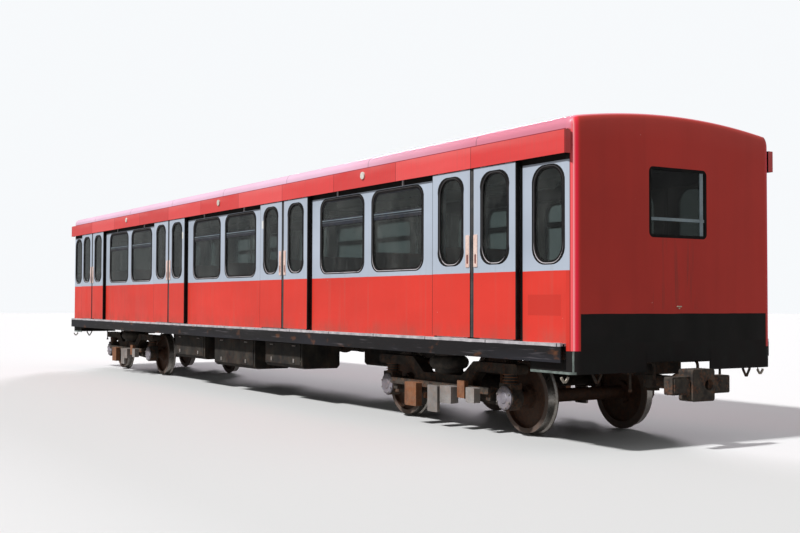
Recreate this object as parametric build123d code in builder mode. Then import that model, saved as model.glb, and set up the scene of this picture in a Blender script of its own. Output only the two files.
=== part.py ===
from build123d import *
import math
import os

# A four-door metro trailer car: body shell, sliding doors, cabin fittings, underframe and two bogies.
# Millimetres. X runs along the car towards its front end, Y to its left side, Z up. The origin is under
# the middle of the car, on the level that the wheel flanges stand on. Both ends are the same.

os.makedirs("parts", exist_ok=True)

# Body shell
DOOR_PITCH = 4914.0  # middle of a door to the middle of the next
OPENING_HALF = 700.0
END_PANEL = 869.0  # length of a side panel beyond the outer doors
CORNER = 110.0  # rounding from the end walls into the sides and the roof
HALF_WIDTH = 1500.0  # middle of the car to the outer face of a side panel
WALL = 60.0  # side panels and end walls
FLOOR_TOP = 1141.0
FLOOR_THICK = 80.0
FLOOR_EASE = 1.0  # how much tighter the floor is rounded than the walls over it
PANEL_HEIGHT = 1892.0
CANTRAIL_HEIGHT = 296.0  # top of the side panels to the lower edge of the roof
ROOF_RADIUS = 6900.0
ROOF_CORNER = 120.0
ROOF_UPSTAND = 10.0  # straight side of the roof below its rounding
ROOF_THICK = 50.0
ROOF_SEAMS = [200.0, 600.0, 1200.0]  # side of the car to the seams between the roof sheets

# Doors, measured from the middle of a door
LEAF_OVERLAP = 120.0  # how far a closed leaf reaches past its opening
LEAF_THICK = 52.0
LEAF_CLEAR = 8.0  # side panel to the back of a leaf
LEAF_ROUND = 10.0
LEAF_RISE = 48.0  # top of the side panels to the top of a leaf
SILL_GAP = 17.0  # deck of the sill to the lower edge of a leaf
NOSE_GAP = 3.0
NOSE_WIDTH = 34.0
NOSE_THICK = 30.0
DOOR_WINDOW = (488.0, 1030.0, 200.0)  # width, height, corner radius
DOOR_WINDOW_DROP = 530.0  # top of the side panels to the middle of the window
SEAL_WIDTH = 28.0
SEAL_SETBACK = 2.0
HANDLE_WIDTH = 70.0
HANDLE_HEIGHT = 370.0
HANDLE_THICK = 9.0
HANDLE_INSET = 6.0  # edge of the leaf's panel to its handle plate
HANDLE_RISE = 1002.0
HANDLE_ROUND = 12.0
GRIP_WIDTH = 30.0
GRIP_HEIGHT = 110.0

# Door track with its rollers, its cover and the sill
CANTRAIL_THICK = 55.0
CANTRAIL_SETBACK = 20.0  # outer face of the side panels to the face of the cantrail
CANTRAIL_FLANGE = 24.0
TRACK_DROP = 117.0  # lower edge of the roof to the top of the track
TRACK_THICK = 12.0
TRACK_REACH = 24.0  # how far the track stands out past the side panels
ROLLER_RADIUS = 23.0
ROLLER_SEAT = 0.3
ROLLER_OVERHANG = 21.0  # how far a roller reaches in over the edge of the track
HANGER_CLEAR = 6.0  # edge of the track to the hangers
HANGER_THICK = 14.0
HANGER_WIDTH = 110.0
HANGER_INSET = 160.0  # edge of the leaf's panel to the middle of a hanger
COVER_CLEAR = 5.0  # face of the leaves to the inside of the cover
COVER_SHEET = 12.0
COVER_GAP = 7.0  # top of the leaves to the lower edge of the cover
COVER_SETBACK = 33.0  # face of an end wall to the end of the cover
COVER_BAYS = 3  # sheets from one door to the next
COVER_GROOVE = 4.0
SILL_REACH = 18.0  # how far the sill stands out past the leaves
SILL_DEPTH = 197.0
SILL_SHEET = 14.0
SILL_DECK = 26.0
GROOVE_WIDTH = 18.0
GROOVE_DEPTH = 16.0
FIN_THICK = 6.0
FIN_CLEAR = 5.0  # lower edge of the fin above the floor of the groove
FIN_INSET = 80.0  # edge of the leaf's panel to the end of its fin

# Fixed windows
WINDOW_MARGIN = 417.0  # door opening to a wide window
WINDOW_PIER = 224.0  # between the two wide windows of a bay
SIDE_WINDOW_HEIGHT = 1056.0
SIDE_WINDOW_ROUND = 170.0
SIDE_WINDOW_DROP = 548.0  # top of the side panels to the middle of the window
SLIM_WINDOW = (496.0, 1034.0, 200.0)  # width, height, corner radius
SLIM_WINDOW_SETBACK = 394.0  # face of an end wall to the middle of the window
SLIM_WINDOW_DROP = 550.0
END_WINDOW = (876.0, 763.0, 60.0)
END_WINDOW_DROP = 390.0
FRAME_WIDTH = 34.0
FRAME_DEPTH = 40.0
FRAME_SETBACK = 1.0
GLASS_THICK = 8.0
GLASS_SETBACK = 14.0
SEAT_GAP = 0.3  # between a pane and its frame
VENT_BAR_HEIGHT = 52.0
VENT_BAR_RISE = 203.0  # middle of a wide window to the middle of the bar

# Cabin
AISLE_HALF = 420.0
BENCH_SETBACK = 17.0  # door opening to the back of the bench beside it
BENCH_DEPTH = 470.0
BENCH_RISE = 430.0  # floor to the top of a seat
SEAT_THICK = 90.0
SEAT_LIP = 10.0  # straight part of a seat's front edge between its roundings
BACK_RISE = 1080.0
BACK_FOOT = 96.0  # thickness of a back where it meets its seat
BACK_THICK = 50.0  # thickness of a back at its top
BACK_ROUND = 20.0
BACK_GAP = 20.0  # between two benches that stand back to back
PLINTH_DEPTH = 290.0
PLINTH_SETBACK = 30.0  # back of a bench to its plinth
SCREEN_THICK = 24.0
SCREEN_HEIGHT = 700.0
POLE_RADIUS = 17.0
POLE_CLEAR = 60.0  # back of a bench to the pole beside it
POLE_INSET = 20.0  # edge of the aisle to the middle of a pole
CEILING_DROP = 99.0  # lower edge of the roof to the underside of the ceiling
CEILING_THICK = 20.0
LAMP_STRIP_Y = 712.0
LAMP_STRIP_WIDTH = 220.0
LAMP_STRIP_DROP = 30.0
LAMP_STRIP_SLOPE = 60.0  # degrees

# Underframe
LONG_BEAM_Y = 350.0  # middle of the car to the inner face of a long beam
LONG_BEAM_WIDTH = 90.0
LONG_BEAM_DEPTH = 111.0
BEARER_PITCH = 1300.0
BEARER_COUNT = 7
BEARER_THICK = 60.0
BEARER_DEPTH = 91.0
BEARER_SETBACK = 60.0  # side of the car to the end of a bearer
BEARER_TAPER = 100.0  # length of a bearer's tapered end
BEARER_TIP = 40.0  # depth of a bearer at its end
HEADSTOCK_SETBACK = 190.0  # face of an end wall to the headstock
HEADSTOCK_THICK = 120.0
HEADSTOCK_DEPTH = 161.0
BOLSTER_HALF = 300.0
BOLSTER_DEPTH = 136.0

# End aprons and what hangs from them
APRON_DEPTH = 193.0
APRON_SHEET = 12.0
APRON_RETURN = 690.0  # face of an end wall to where the side returns end
APRON_FLANGE = 60.0
PIPE_RADIUS = 16.0
INNER_PIPE_Y = 330.0
INNER_PIPE_DROP = 258.0
OUTER_PIPE_Y = 680.0
OUTER_PIPE_DROP = 308.0
HOOK_WIDTH = 150.0
HOOK_DROP = 70.0
HOOK_BAR = 22.0
HOOK_LEG = 35.0  # width of a hook's slanting legs, measured along their feet
HOOK_HANG = 73.0  # apron to the tips of a hook
SIDE_HOOK_SETBACK = 155.0  # face of an end wall to the hook under the side return
END_HOOK_SETBACK = 370.0  # side of the car to the hook under the end
SOCKET_WIDTH = 70.0
SOCKET_HEIGHT = 50.0
SOCKET_DEPTH = 22.0
SOCKET_RISE = 367.0  # floor to the middle of the socket on the end wall

# Bogies, measured from the middle of a bogie
BOGIE_SETBACK = 2945.0  # face of an end wall to the middle of its bogie
AXLE_X = 1300.0
WHEEL_RADIUS = 425.0
FLANGE_HEIGHT = 28.0
FLANGE_THICK = 32.0
FLANGE_ROUND = 9.0
WHEEL_BACK = 680.0  # middle of the axle to the back of a wheel
WHEEL_WIDTH = 135.0
TREAD_FALL = 4.0  # how much the tread tapers
RIM_THICK = 62.0
WEB_THICK = 26.0
WEB_SETBACK = 45.0  # back of a wheel to its web
WEB_ROUND = 18.0
HUB_RADIUS = 135.0
HUB_WIDTH = 160.0
HUB_BACK = 10.0  # how far the hub stands out behind the wheel
AXLE_RADIUS = 80.0
WHEEL_SEAT = 15.0  # how much thicker the axle is where a wheel sits
JOURNAL_RADIUS = 65.0
JOURNAL_END = 8.0  # end of the journal to the outside of the axle box
BEAM_Y = 950.0  # middle of the bogie to the inner face of a side beam
BEAM_WIDTH = 160.0
BEAM_UNDER = 730.0  # underside of a side beam over the axle boxes
BEAM_DEPTH = 120.0
BEAM_OVERHANG = 230.0  # axle to the end of a side beam
BEAM_ROUND = 50.0
WELL_TOP = 660.0  # top of a side beam in the middle
WELL_HALF = 420.0
WELL_SLOPE = 250.0  # length of the slope from the well to the top of the beam
BELLY_DROP = 10.0  # cross tubes to the lowest part of a side beam
BELLY_CLEAR = 40.0  # bracket of an arm to the foot of the slope
BELLY_SLOPE = 300.0  # length of the slope on the underside
TUBE_X = 330.0
TUBE_Z = 560.0
TUBE_RADIUS = 95.0
BOX_RADIUS = 150.0
LID_RADIUS = 138.0
LID_DEPTH = 35.0
LID_RIM = 20.0
ARM_PIVOT_X = 560.0
ARM_PIVOT_RADIUS = 70.0
ARM_ROOT_RADIUS = 105.0
ARM_INSET = 32.0
ARM_PLAY = 2.0  # between an arm and its bracket
PAD_HEIGHT = 169.0  # axle to the seat of its rubber spring
PAD_HALF = 110.0
SPRING_RADIUS = 72.0
SPRING_PLATE = 90.0  # radius of the plates between the rubber
SPRING_PLATES = 4
PLATE_THICK = 8.0
PIN_RADIUS = 80.0
BORE_CLEAR = 0.3  # all round a pin or journal in its bore
PIN_TIP = 20.0  # how far the centre pin reaches out under its cradle
CRADLE_HEIGHT = 170.0
CRADLE_HALF_WIDTH = 210.0
AIR_RADIUS = 250.0
AIR_SEAT_RADIUS = 180.0
AIR_SEAT = 20.0
AIR_RIM = 40.0  # straight foot and head of an air spring
AIR_Y = 1000.0
AIR_GAP = 0.3
BRAKE_CLEAR = 6.0  # tread to a brake block
BLOCK_THICK = 48.0
BLOCK_WIDTH = 84.0
BLOCK_ANGLE = 44.0  # degrees
LINK_WIDTH = 40.0
LINK_THICK = 44.0
LINK_LAP = 2.0  # how far a link laps into its block
LINK_PIN_RADIUS = 28.0
SHOE_BEAM_Y = 1155.0
SHOE_BEAM_THICK = 40.0
SHOE_BEAM_Z = 520.0
SHOE_BEAM_HEIGHT = 80.0
SHOE_BEAM_TIP = 10.0  # how far the beam reaches past its brackets
SHOE_BRACKET_GAP = 75.0  # axle box to the bracket of the shoe beam
SHOE_BRACKET_WIDTH = 85.0
SHOE_BRACKET_DROP = 75.0
PIECE_ROUND = 14.0
# Pieces hung on the shoe beam: from X, to X, lower edge, upper edge, depth
SHOE_PIECES = [
    (-600.0, -330.0, 235.0, 535.0, 90.0),
    (-140.0, 80.0, 190.0, 520.0, 40.0),
    (240.0, 480.0, 330.0, 540.0, 110.0),
    (540.0, 690.0, 410.0, 620.0, 60.0),
    (760.0, 930.0, 370.0, 550.0, 90.0),
]

# Couplers
COUPLER_Z = 690.0
COUPLER_REACH = 350.0  # face of an end wall to the face of the coupler
PIN_SETBACK = 400.0  # face of an end wall to the coupler's pin
HEAD_LENGTH = 200.0
HEAD_WIDTH = 330.0
HEAD_HEIGHT = 340.0
HEAD_ROUND = 30.0
CUP_RADIUS = 62.0
CUP_DEPTH = 70.0
CUP_TAPER = 20.0  # degrees
CUP_Y = 80.0
CABLE_HEAD_WIDTH = 265.0
CABLE_HEAD_HEIGHT = 190.0
CABLE_HEAD_LENGTH = 120.0
CABLE_HEAD_SETBACK = 20.0
CABLE_LID = 12.0
CABLE_LID_MARGIN = 22.0
DRAWBAR_RADIUS = 75.0
BUFFER_RADIUS = 105.0
BUFFER_LENGTH = 190.0
EYE_RADIUS = 105.0
EYE_HEIGHT = 140.0
COUPLER_PIN = 45.0
COUPLER_CLEAR = 8.0
YOKE_LENGTH = 220.0
PIN_HEAD_RADIUS = 75.0
PIN_HEAD_THICK = 25.0

# Door lamps on the track covers
LAMP_RADIUS = 50.0
LAMP_RISE = 18.0
LAMP_ROUND = 11.0
LAMP_DROP = 91.0  # lower edge of the roof to the middle of a lamp

# Boxes and air tanks under the floor
BOX_WIDTH = 640.0
BOX_SETBACK = 160.0  # side of the car to the face of the boxes
BOX_CHAMFER = 45.0
BOX_LID = 10.0
BOX_LID_MARGIN = 55.0
# Side of the car, middle X, length, height
UNDER_BOXES = [
    (-1, -1900.0, 1500.0, 460.0),
    (-1, 150.0, 1700.0, 520.0),
    (-1, 2050.0, 1300.0, 430.0),
    (1, 1850.0, 1600.0, 500.0),
    (1, -2350.0, 1100.0, 420.0),
]
TANK_RADIUS = 160.0
TANK_HALF = 800.0
TANK_DOME = 90.0
TANK_SETBACKS = [240.0, 600.0]  # side of the car to the middle of each tank
STRAP = 8.0
SADDLE_WIDTH = 200.0

# Worked out from the sizes above
HALF_LENGTH = 1.5 * DOOR_PITCH + OPENING_HALF + END_PANEL + CORNER
CAP_X = HALF_LENGTH - CORNER  # where side panels and roof meet the end walls
INNER_END = HALF_LENGTH - WALL
INNER_SIDE = HALF_WIDTH - WALL
FLOOR_UNDER = FLOOR_TOP - FLOOR_THICK
PANEL_TOP = FLOOR_TOP + PANEL_HEIGHT
ROOF_EDGE = PANEL_TOP + CANTRAIL_HEIGHT
ROOF_TURN = math.pi / 2 - math.asin(HALF_WIDTH / ROOF_RADIUS)
SHOULDER = ROOF_EDGE + ROOF_UPSTAND + ROOF_CORNER * math.tan(ROOF_TURN / 2)
CROWN = SHOULDER + ROOF_RADIUS - math.sqrt(ROOF_RADIUS**2 - HALF_WIDTH**2)
BAYS = [-DOOR_PITCH, 0.0, DOOR_PITCH]
DOORS = [(i - 1.5) * DOOR_PITCH for i in range(4)]
BAY_HALF = DOOR_PITCH / 2 - OPENING_HALF
BAY_SPANS = [(bay - BAY_HALF, bay + BAY_HALF) for bay in BAYS]
END_SPANS = [(-CAP_X, END_PANEL - CAP_X), (CAP_X - END_PANEL, CAP_X)]

LEAF_INNER = NOSE_GAP + NOSE_WIDTH  # edge of a leaf's panel behind its rubber nose
LEAF_OUTER = OPENING_HALF + LEAF_OVERLAP
LEAF_BACK = HALF_WIDTH + LEAF_CLEAR
LEAF_FACE = LEAF_BACK + LEAF_THICK
LEAF_BOTTOM = FLOOR_TOP + SILL_GAP
LEAF_TOP = PANEL_TOP + LEAF_RISE
LEAF_MIDDLE = ((LEAF_INNER + LEAF_OUTER) / 2, (LEAF_BOTTOM + LEAF_TOP) / 2)
DOOR_WINDOW_SPOT = (LEAF_MIDDLE[0], PANEL_TOP - DOOR_WINDOW_DROP)

CANTRAIL_OUT = HALF_WIDTH - CANTRAIL_SETBACK
CANTRAIL_IN = CANTRAIL_OUT - CANTRAIL_THICK
TRACK_OUT = HALF_WIDTH + TRACK_REACH
TRACK_TOP = ROOF_EDGE - TRACK_DROP
ROLLER_Z = TRACK_TOP + ROLLER_SEAT + ROLLER_RADIUS
HANGER_IN = TRACK_OUT + HANGER_CLEAR
HANGER_TOP = ROLLER_Z + ROLLER_RADIUS
HANGER_X = (LEAF_INNER + HANGER_INSET, LEAF_OUTER - HANGER_INSET)
COVER_OUT = LEAF_FACE + COVER_CLEAR + COVER_SHEET
COVER_BOTTOM = LEAF_TOP + COVER_GAP
COVER_END = HALF_LENGTH - COVER_SETBACK
SILL_OUT = LEAF_FACE + SILL_REACH
SILL_BOTTOM = FLOOR_TOP - SILL_DEPTH
GROOVE_Y = LEAF_BACK + LEAF_THICK / 2
FIN_BOTTOM = FLOOR_TOP - GROOVE_DEPTH + FIN_CLEAR

SIDE_WINDOW_WIDTH = BAY_HALF - WINDOW_MARGIN - WINDOW_PIER / 2
SIDE_WINDOW = (SIDE_WINDOW_WIDTH, SIDE_WINDOW_HEIGHT, SIDE_WINDOW_ROUND)
SIDE_WINDOW_X = (WINDOW_PIER + SIDE_WINDOW_WIDTH) / 2
SIDE_WINDOW_Z = PANEL_TOP - SIDE_WINDOW_DROP
SIDE_WINDOW_SPOTS = [(bay + hand * SIDE_WINDOW_X, SIDE_WINDOW_Z) for bay in BAYS for hand in (-1, 1)]
SLIM_WINDOW_X = HALF_LENGTH - SLIM_WINDOW_SETBACK
SLIM_WINDOW_SPOTS = [(hand * SLIM_WINDOW_X, PANEL_TOP - SLIM_WINDOW_DROP) for hand in (-1, 1)]
END_WINDOW_SPOT = (0, PANEL_TOP - END_WINDOW_DROP)

SEAT_TOP = FLOOR_TOP + BENCH_RISE
SEAT_ROUND = (SEAT_THICK - SEAT_LIP) / 2
BACK_TOP = FLOOR_TOP + BACK_RISE
BENCH_WIDTH = INNER_SIDE - AISLE_HALF
BENCH_Y = (INNER_SIDE + AISLE_HALF) / 2
BENCH_BACK_X = BAY_HALF - BENCH_SETBACK
CEILING_Z = ROOF_EDGE - CEILING_DROP

LONG_BEAM_OUT = LONG_BEAM_Y + LONG_BEAM_WIDTH
BEARER_BOTTOM = FLOOR_UNDER - BEARER_DEPTH
BEARER_END = HALF_WIDTH - BEARER_SETBACK
BOLSTER_BOTTOM = FLOOR_UNDER - BOLSTER_DEPTH
HEADSTOCK_OUT = HALF_LENGTH - HEADSTOCK_SETBACK
HEADSTOCK_IN = HEADSTOCK_OUT - HEADSTOCK_THICK
APRON_BOTTOM = FLOOR_UNDER - APRON_DEPTH
HOOK_Z = APRON_BOTTOM - HOOK_HANG

PIVOT_X = HALF_LENGTH - BOGIE_SETBACK
AXLE_Z = WHEEL_RADIUS + FLANGE_HEIGHT
BEAM_OUT = BEAM_Y + BEAM_WIDTH
BEAM_MIDDLE = BEAM_Y + BEAM_WIDTH / 2
BEAM_TOP = BEAM_UNDER + BEAM_DEPTH
BEAM_END = AXLE_X + BEAM_OVERHANG
BELLY_Z = TUBE_Z - TUBE_RADIUS - BELLY_DROP
BELLY_X = ARM_PIVOT_X - ARM_PIVOT_RADIUS - BELLY_CLEAR
PAD_TOP = AXLE_Z + PAD_HEIGHT
CRADLE_BOTTOM = TUBE_Z - CRADLE_HEIGHT / 2
PIN_BOTTOM = CRADLE_BOTTOM - PIN_TIP

COUPLER_FACE_X = HALF_LENGTH + COUPLER_REACH
COUPLER_PIN_X = HALF_LENGTH - PIN_SETBACK
EYE_BOTTOM = COUPLER_Z - EYE_HEIGHT / 2
EYE_TOP = COUPLER_Z + EYE_HEIGHT / 2
BOX_Y = HALF_WIDTH - BOX_SETBACK - BOX_WIDTH / 2
TANK_Z = BEARER_BOTTOM - STRAP - TANK_RADIUS


def inset(size, amount):
    """A window's width, height and corner radius, smaller all round."""
    return (size[0] - 2 * amount, size[1] - 2 * amount, size[2] - amount)


def section(bottom, depth):
    """The car's section above bottom, its outline moved in by depth."""
    half = HALF_WIDTH - depth
    radius = ROOF_RADIUS - depth
    crown = CROWN - depth
    shoulder = crown - radius + math.sqrt(radius**2 - half**2)
    with BuildSketch() as outline:
        with BuildLine():
            legs = Polyline((-half, shoulder), (-half, bottom), (half, bottom), (half, shoulder))
            ThreePointArc(legs @ 1, (0, crown), legs @ 0)
        make_face()
        fillet(outline.vertices().group_by(Axis.Y)[-1], ROOF_CORNER - depth)
    return outline.sketch_local


def draw_windows(amount, mode=Mode.ADD):
    """Draw the windows of one side in the sketch that is open, smaller all round by amount."""
    with Locations(*SIDE_WINDOW_SPOTS):
        RectangleRounded(*inset(SIDE_WINDOW, amount), mode=mode)
    with Locations(*SLIM_WINDOW_SPOTS):
        RectangleRounded(*inset(SLIM_WINDOW, amount), mode=mode)


def part_at(*planes):
    """Part the piece that is open at each plane, where its sheets or members meet."""
    for plane in planes:
        split(bisect_by=plane, keep=Keep.BOTH)


def both_ends(distance):
    """The two planes across the car at that distance from its middle."""
    return Plane.YZ.offset(-distance), Plane.YZ.offset(distance)


def both_sides(distance):
    """The two planes along the car at that distance from its middle."""
    return Plane.XZ.offset(-distance), Plane.XZ.offset(distance)


def write_node(label, builders, place=Location()):
    """Write one node from the pieces that it is built of, moved to their place."""
    node = Compound(label=label, children=[builder.part.moved(place) for builder in builders])
    export_step(node, f"parts/{label}.step")


# Side panels: between the door openings, three window bays and two end bays a side
with BuildPart() as side_panels:
    with BuildSketch(Plane.XZ.offset(-HALF_WIDTH)):
        for low, high in BAY_SPANS + END_SPANS:
            with Locations(((low + high) / 2, (FLOOR_TOP + PANEL_TOP) / 2)):
                Rectangle(high - low, PANEL_HEIGHT)
        draw_windows(0, Mode.SUBTRACT)
    extrude(amount=WALL)
    mirror(about=Plane.XZ)
side_panels.part.label = "side_panels"
export_step(side_panels.part, "parts/side_panels.step")

# Window frames: rubber rings, with the bar of the tipping vent across the wide windows
with BuildPart() as window_frames:
    with BuildSketch(Plane.XZ.offset(FRAME_SETBACK - HALF_WIDTH)):
        draw_windows(0)
        draw_windows(FRAME_WIDTH, Mode.SUBTRACT)
    extrude(amount=FRAME_DEPTH)
    bar_setback = GLASS_SETBACK + GLASS_THICK + SEAT_GAP
    with BuildSketch(Plane.XZ.offset(bar_setback - HALF_WIDTH)):
        with Locations(*[(x, z + VENT_BAR_RISE) for x, z in SIDE_WINDOW_SPOTS]):
            Rectangle(SIDE_WINDOW_WIDTH - 2 * FRAME_WIDTH, VENT_BAR_HEIGHT)
    extrude(amount=FRAME_SETBACK + FRAME_DEPTH - bar_setback)
    mirror(about=Plane.XZ)
    with BuildSketch(Plane.YZ.offset(HALF_LENGTH - FRAME_SETBACK)):
        with Locations(END_WINDOW_SPOT):
            RectangleRounded(*END_WINDOW)
            RectangleRounded(*inset(END_WINDOW, FRAME_WIDTH), mode=Mode.SUBTRACT)
    end_ring = extrude(amount=-FRAME_DEPTH)
    mirror(end_ring, about=Plane.YZ)
window_frames.part.label = "window_frames"
export_step(window_frames.part, "parts/window_frames.step")

# Fixed panes
with BuildPart() as fixed_glass:
    with BuildSketch(Plane.XZ.offset(GLASS_SETBACK - HALF_WIDTH)):
        draw_windows(FRAME_WIDTH + SEAT_GAP)
    extrude(amount=GLASS_THICK)
    mirror(about=Plane.XZ)
    with BuildSketch(Plane.YZ.offset(HALF_LENGTH - GLASS_SETBACK)):
        with Locations(END_WINDOW_SPOT):
            RectangleRounded(*inset(END_WINDOW, FRAME_WIDTH + SEAT_GAP))
    end_pane = extrude(amount=-GLASS_THICK)
    mirror(end_pane, about=Plane.YZ)
fixed_glass.part.label = "fixed_glass"
export_step(fixed_glass.part, "parts/fixed_glass.step")

# Cantrails over the doors: a web, the track that the door rollers run on, and a flange under the roof
with BuildPart() as cantrails:
    with BuildSketch(Plane.YZ.offset(-CAP_X)):
        with BuildLine():
            Polyline(
                (CANTRAIL_IN, PANEL_TOP),
                (CANTRAIL_OUT, PANEL_TOP),
                (CANTRAIL_OUT, TRACK_TOP - TRACK_THICK),
                (TRACK_OUT, TRACK_TOP - TRACK_THICK),
                (TRACK_OUT, TRACK_TOP),
                (CANTRAIL_OUT, TRACK_TOP),
                (CANTRAIL_OUT, ROOF_EDGE - CANTRAIL_FLANGE),
                (HALF_WIDTH, ROOF_EDGE - CANTRAIL_FLANGE),
                (HALF_WIDTH, ROOF_EDGE),
                (CANTRAIL_IN, ROOF_EDGE),
                close=True,
            )
        make_face()
    extrude(amount=2 * CAP_X)
    mirror(about=Plane.XZ)
    part_at(*both_sides(CANTRAIL_OUT))
cantrails.part.label = "cantrails"
export_step(cantrails.part, "parts/cantrails.step")

# Track covers: a folded sheet along each side with closed ends and a groove at each sheet joint
with BuildPart() as track_covers:
    cover_inner = COVER_OUT - COVER_SHEET
    cover_middle = (COVER_BOTTOM + ROOF_EDGE) / 2
    with BuildSketch(Plane.YZ.offset(-COVER_END)):
        with BuildLine():
            Polyline(
                (HALF_WIDTH, ROOF_EDGE),
                (COVER_OUT, ROOF_EDGE),
                (COVER_OUT, COVER_BOTTOM),
                (cover_inner, COVER_BOTTOM),
                (cover_inner, ROOF_EDGE - COVER_SHEET),
                (HALF_WIDTH, ROOF_EDGE - COVER_SHEET),
                close=True,
            )
        make_face()
    extrude(amount=2 * COVER_END)
    with BuildSketch(Plane.YZ.offset(COVER_END)):
        with Locations(((HALF_WIDTH + COVER_OUT) / 2, cover_middle)):
            Rectangle(COVER_OUT - HALF_WIDTH, ROOF_EDGE - COVER_BOTTOM)
    end_cap = extrude(amount=-COVER_SHEET)
    mirror(end_cap, about=Plane.YZ)
    joint_pitch = DOOR_PITCH / COVER_BAYS
    joint_count = 4 * COVER_BAYS
    with BuildSketch(Plane.XZ.offset(-COVER_OUT)):
        for i in range(joint_count):
            with Locations(((i + 0.5 - joint_count / 2) * joint_pitch, cover_middle)):
                Rectangle(COVER_GROOVE, ROOF_EDGE - COVER_BOTTOM)
    extrude(amount=COVER_GROOVE, mode=Mode.SUBTRACT)
    mirror(about=Plane.XZ)
    part_at(Plane.XY.offset(ROOF_EDGE - COVER_SHEET), *both_ends(COVER_END - COVER_SHEET))
track_covers.part.label = "track_covers"
export_step(track_covers.part, "parts/track_covers.step")

# Door sills: a beam along each side, its deck grooved for the doors' guide fins
with BuildPart() as door_sills:
    with BuildSketch(Plane.YZ.offset(-CAP_X)):
        with BuildLine():
            Polyline(
                (HALF_WIDTH, FLOOR_TOP),
                (GROOVE_Y - GROOVE_WIDTH / 2, FLOOR_TOP),
                (GROOVE_Y - GROOVE_WIDTH / 2, FLOOR_TOP - GROOVE_DEPTH),
                (GROOVE_Y + GROOVE_WIDTH / 2, FLOOR_TOP - GROOVE_DEPTH),
                (GROOVE_Y + GROOVE_WIDTH / 2, FLOOR_TOP),
                (SILL_OUT, FLOOR_TOP),
                (SILL_OUT, SILL_BOTTOM),
                (SILL_OUT - SILL_SHEET, SILL_BOTTOM),
                (SILL_OUT - SILL_SHEET, FLOOR_TOP - SILL_DECK),
                (HALF_WIDTH + SILL_SHEET, FLOOR_TOP - SILL_DECK),
                (HALF_WIDTH + SILL_SHEET, SILL_BOTTOM + SILL_DECK),
                (HALF_WIDTH, SILL_BOTTOM + SILL_DECK),
                close=True,
            )
        make_face()
    extrude(amount=2 * CAP_X)
    mirror(about=Plane.XZ)
    part_at(Plane.XY.offset(FLOOR_TOP - SILL_DECK))
door_sills.part.label = "door_sills"
export_step(door_sills.part, "parts/door_sills.step")

# Roof shell: sheets that run along the car, an arc with rounded shoulders, open underneath
with BuildPart() as roof_shell:
    with BuildSketch(Plane.YZ.offset(-CAP_X)):
        add(section(ROOF_EDGE, 0))
    extrude(amount=2 * CAP_X)
    with BuildSketch(Plane.YZ.offset(-CAP_X)):
        add(section(ROOF_EDGE, ROOF_THICK))
    extrude(amount=2 * CAP_X, mode=Mode.SUBTRACT)
    for setback in ROOF_SEAMS:
        part_at(*both_sides(HALF_WIDTH - setback))
roof_shell.part.label = "roof_shell"
export_step(roof_shell.part, "parts/roof_shell.step")

# End walls: a thick plate at each end and a rim behind it, rolled into the sides and the roof
with BuildPart() as end_walls:
    with BuildSketch(Plane.YZ.offset(CAP_X)):
        add(section(FLOOR_TOP, 0))
    extrude(amount=CORNER)
    outer_edges = end_walls.faces().sort_by(Axis.X)[-1].edges()
    rim = outer_edges.filter_by(lambda edge: edge.center().Z > FLOOR_TOP + 1)
    fillet(rim, min(CORNER, ROOF_CORNER) - 1)
    with BuildSketch(Plane.YZ.offset(CAP_X)):
        add(section(FLOOR_TOP, WALL))
    extrude(amount=CORNER - WALL, mode=Mode.SUBTRACT)
    with BuildSketch(Plane.YZ.offset(CAP_X)):
        with Locations(END_WINDOW_SPOT):
            RectangleRounded(*END_WINDOW)
    extrude(amount=CORNER, mode=Mode.SUBTRACT)
    part_at(Plane.YZ.offset(INNER_END))
    mirror(about=Plane.YZ)
    for setback in ROOF_SEAMS:
        part_at(*both_sides(HALF_WIDTH - setback))
end_walls.part.label = "end_walls"
export_step(end_walls.part, "parts/end_walls.step")

# Floor plate that the walls stand on
with BuildPart() as floor_plate:
    with BuildSketch(Plane.XY.offset(FLOOR_UNDER)):
        RectangleRounded(2 * HALF_LENGTH, 2 * HALF_WIDTH, CORNER - FLOOR_EASE)
    extrude(amount=FLOOR_THICK)
floor_plate.part.label = "floor_plate"
export_step(floor_plate.part, "parts/floor_plate.step")

# Ceiling lining with two long lamp covers
with BuildPart() as ceiling:
    with BuildSketch(Plane.YZ.offset(-INNER_END)):
        with Locations((0, CEILING_Z + CEILING_THICK / 2)):
            Rectangle(2 * CANTRAIL_IN, CEILING_THICK)
        with Locations((-LAMP_STRIP_Y, CEILING_Z), (LAMP_STRIP_Y, CEILING_Z)):
            Trapezoid(LAMP_STRIP_WIDTH, LAMP_STRIP_DROP, LAMP_STRIP_SLOPE, rotation=180,
                      align=(Align.CENTER, Align.MIN))
    extrude(amount=2 * INNER_END)
    part_at(Plane.XY.offset(CEILING_Z))
ceiling.part.label = "ceiling"
export_step(ceiling.part, "parts/ceiling.step")

# Long beams of the underframe, which the bolsters interrupt
with BuildPart() as long_beams:
    for low, high in [
        (-HEADSTOCK_IN, -PIVOT_X - BOLSTER_HALF),
        (BOLSTER_HALF - PIVOT_X, PIVOT_X - BOLSTER_HALF),
        (PIVOT_X + BOLSTER_HALF, HEADSTOCK_IN),
    ]:
        with BuildSketch(Plane.YZ.offset(low)):
            with Locations((LONG_BEAM_Y + LONG_BEAM_WIDTH / 2, FLOOR_UNDER - LONG_BEAM_DEPTH / 2)):
                Rectangle(LONG_BEAM_WIDTH, LONG_BEAM_DEPTH)
            mirror(about=Plane.YZ)
        extrude(amount=high - low)

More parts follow.
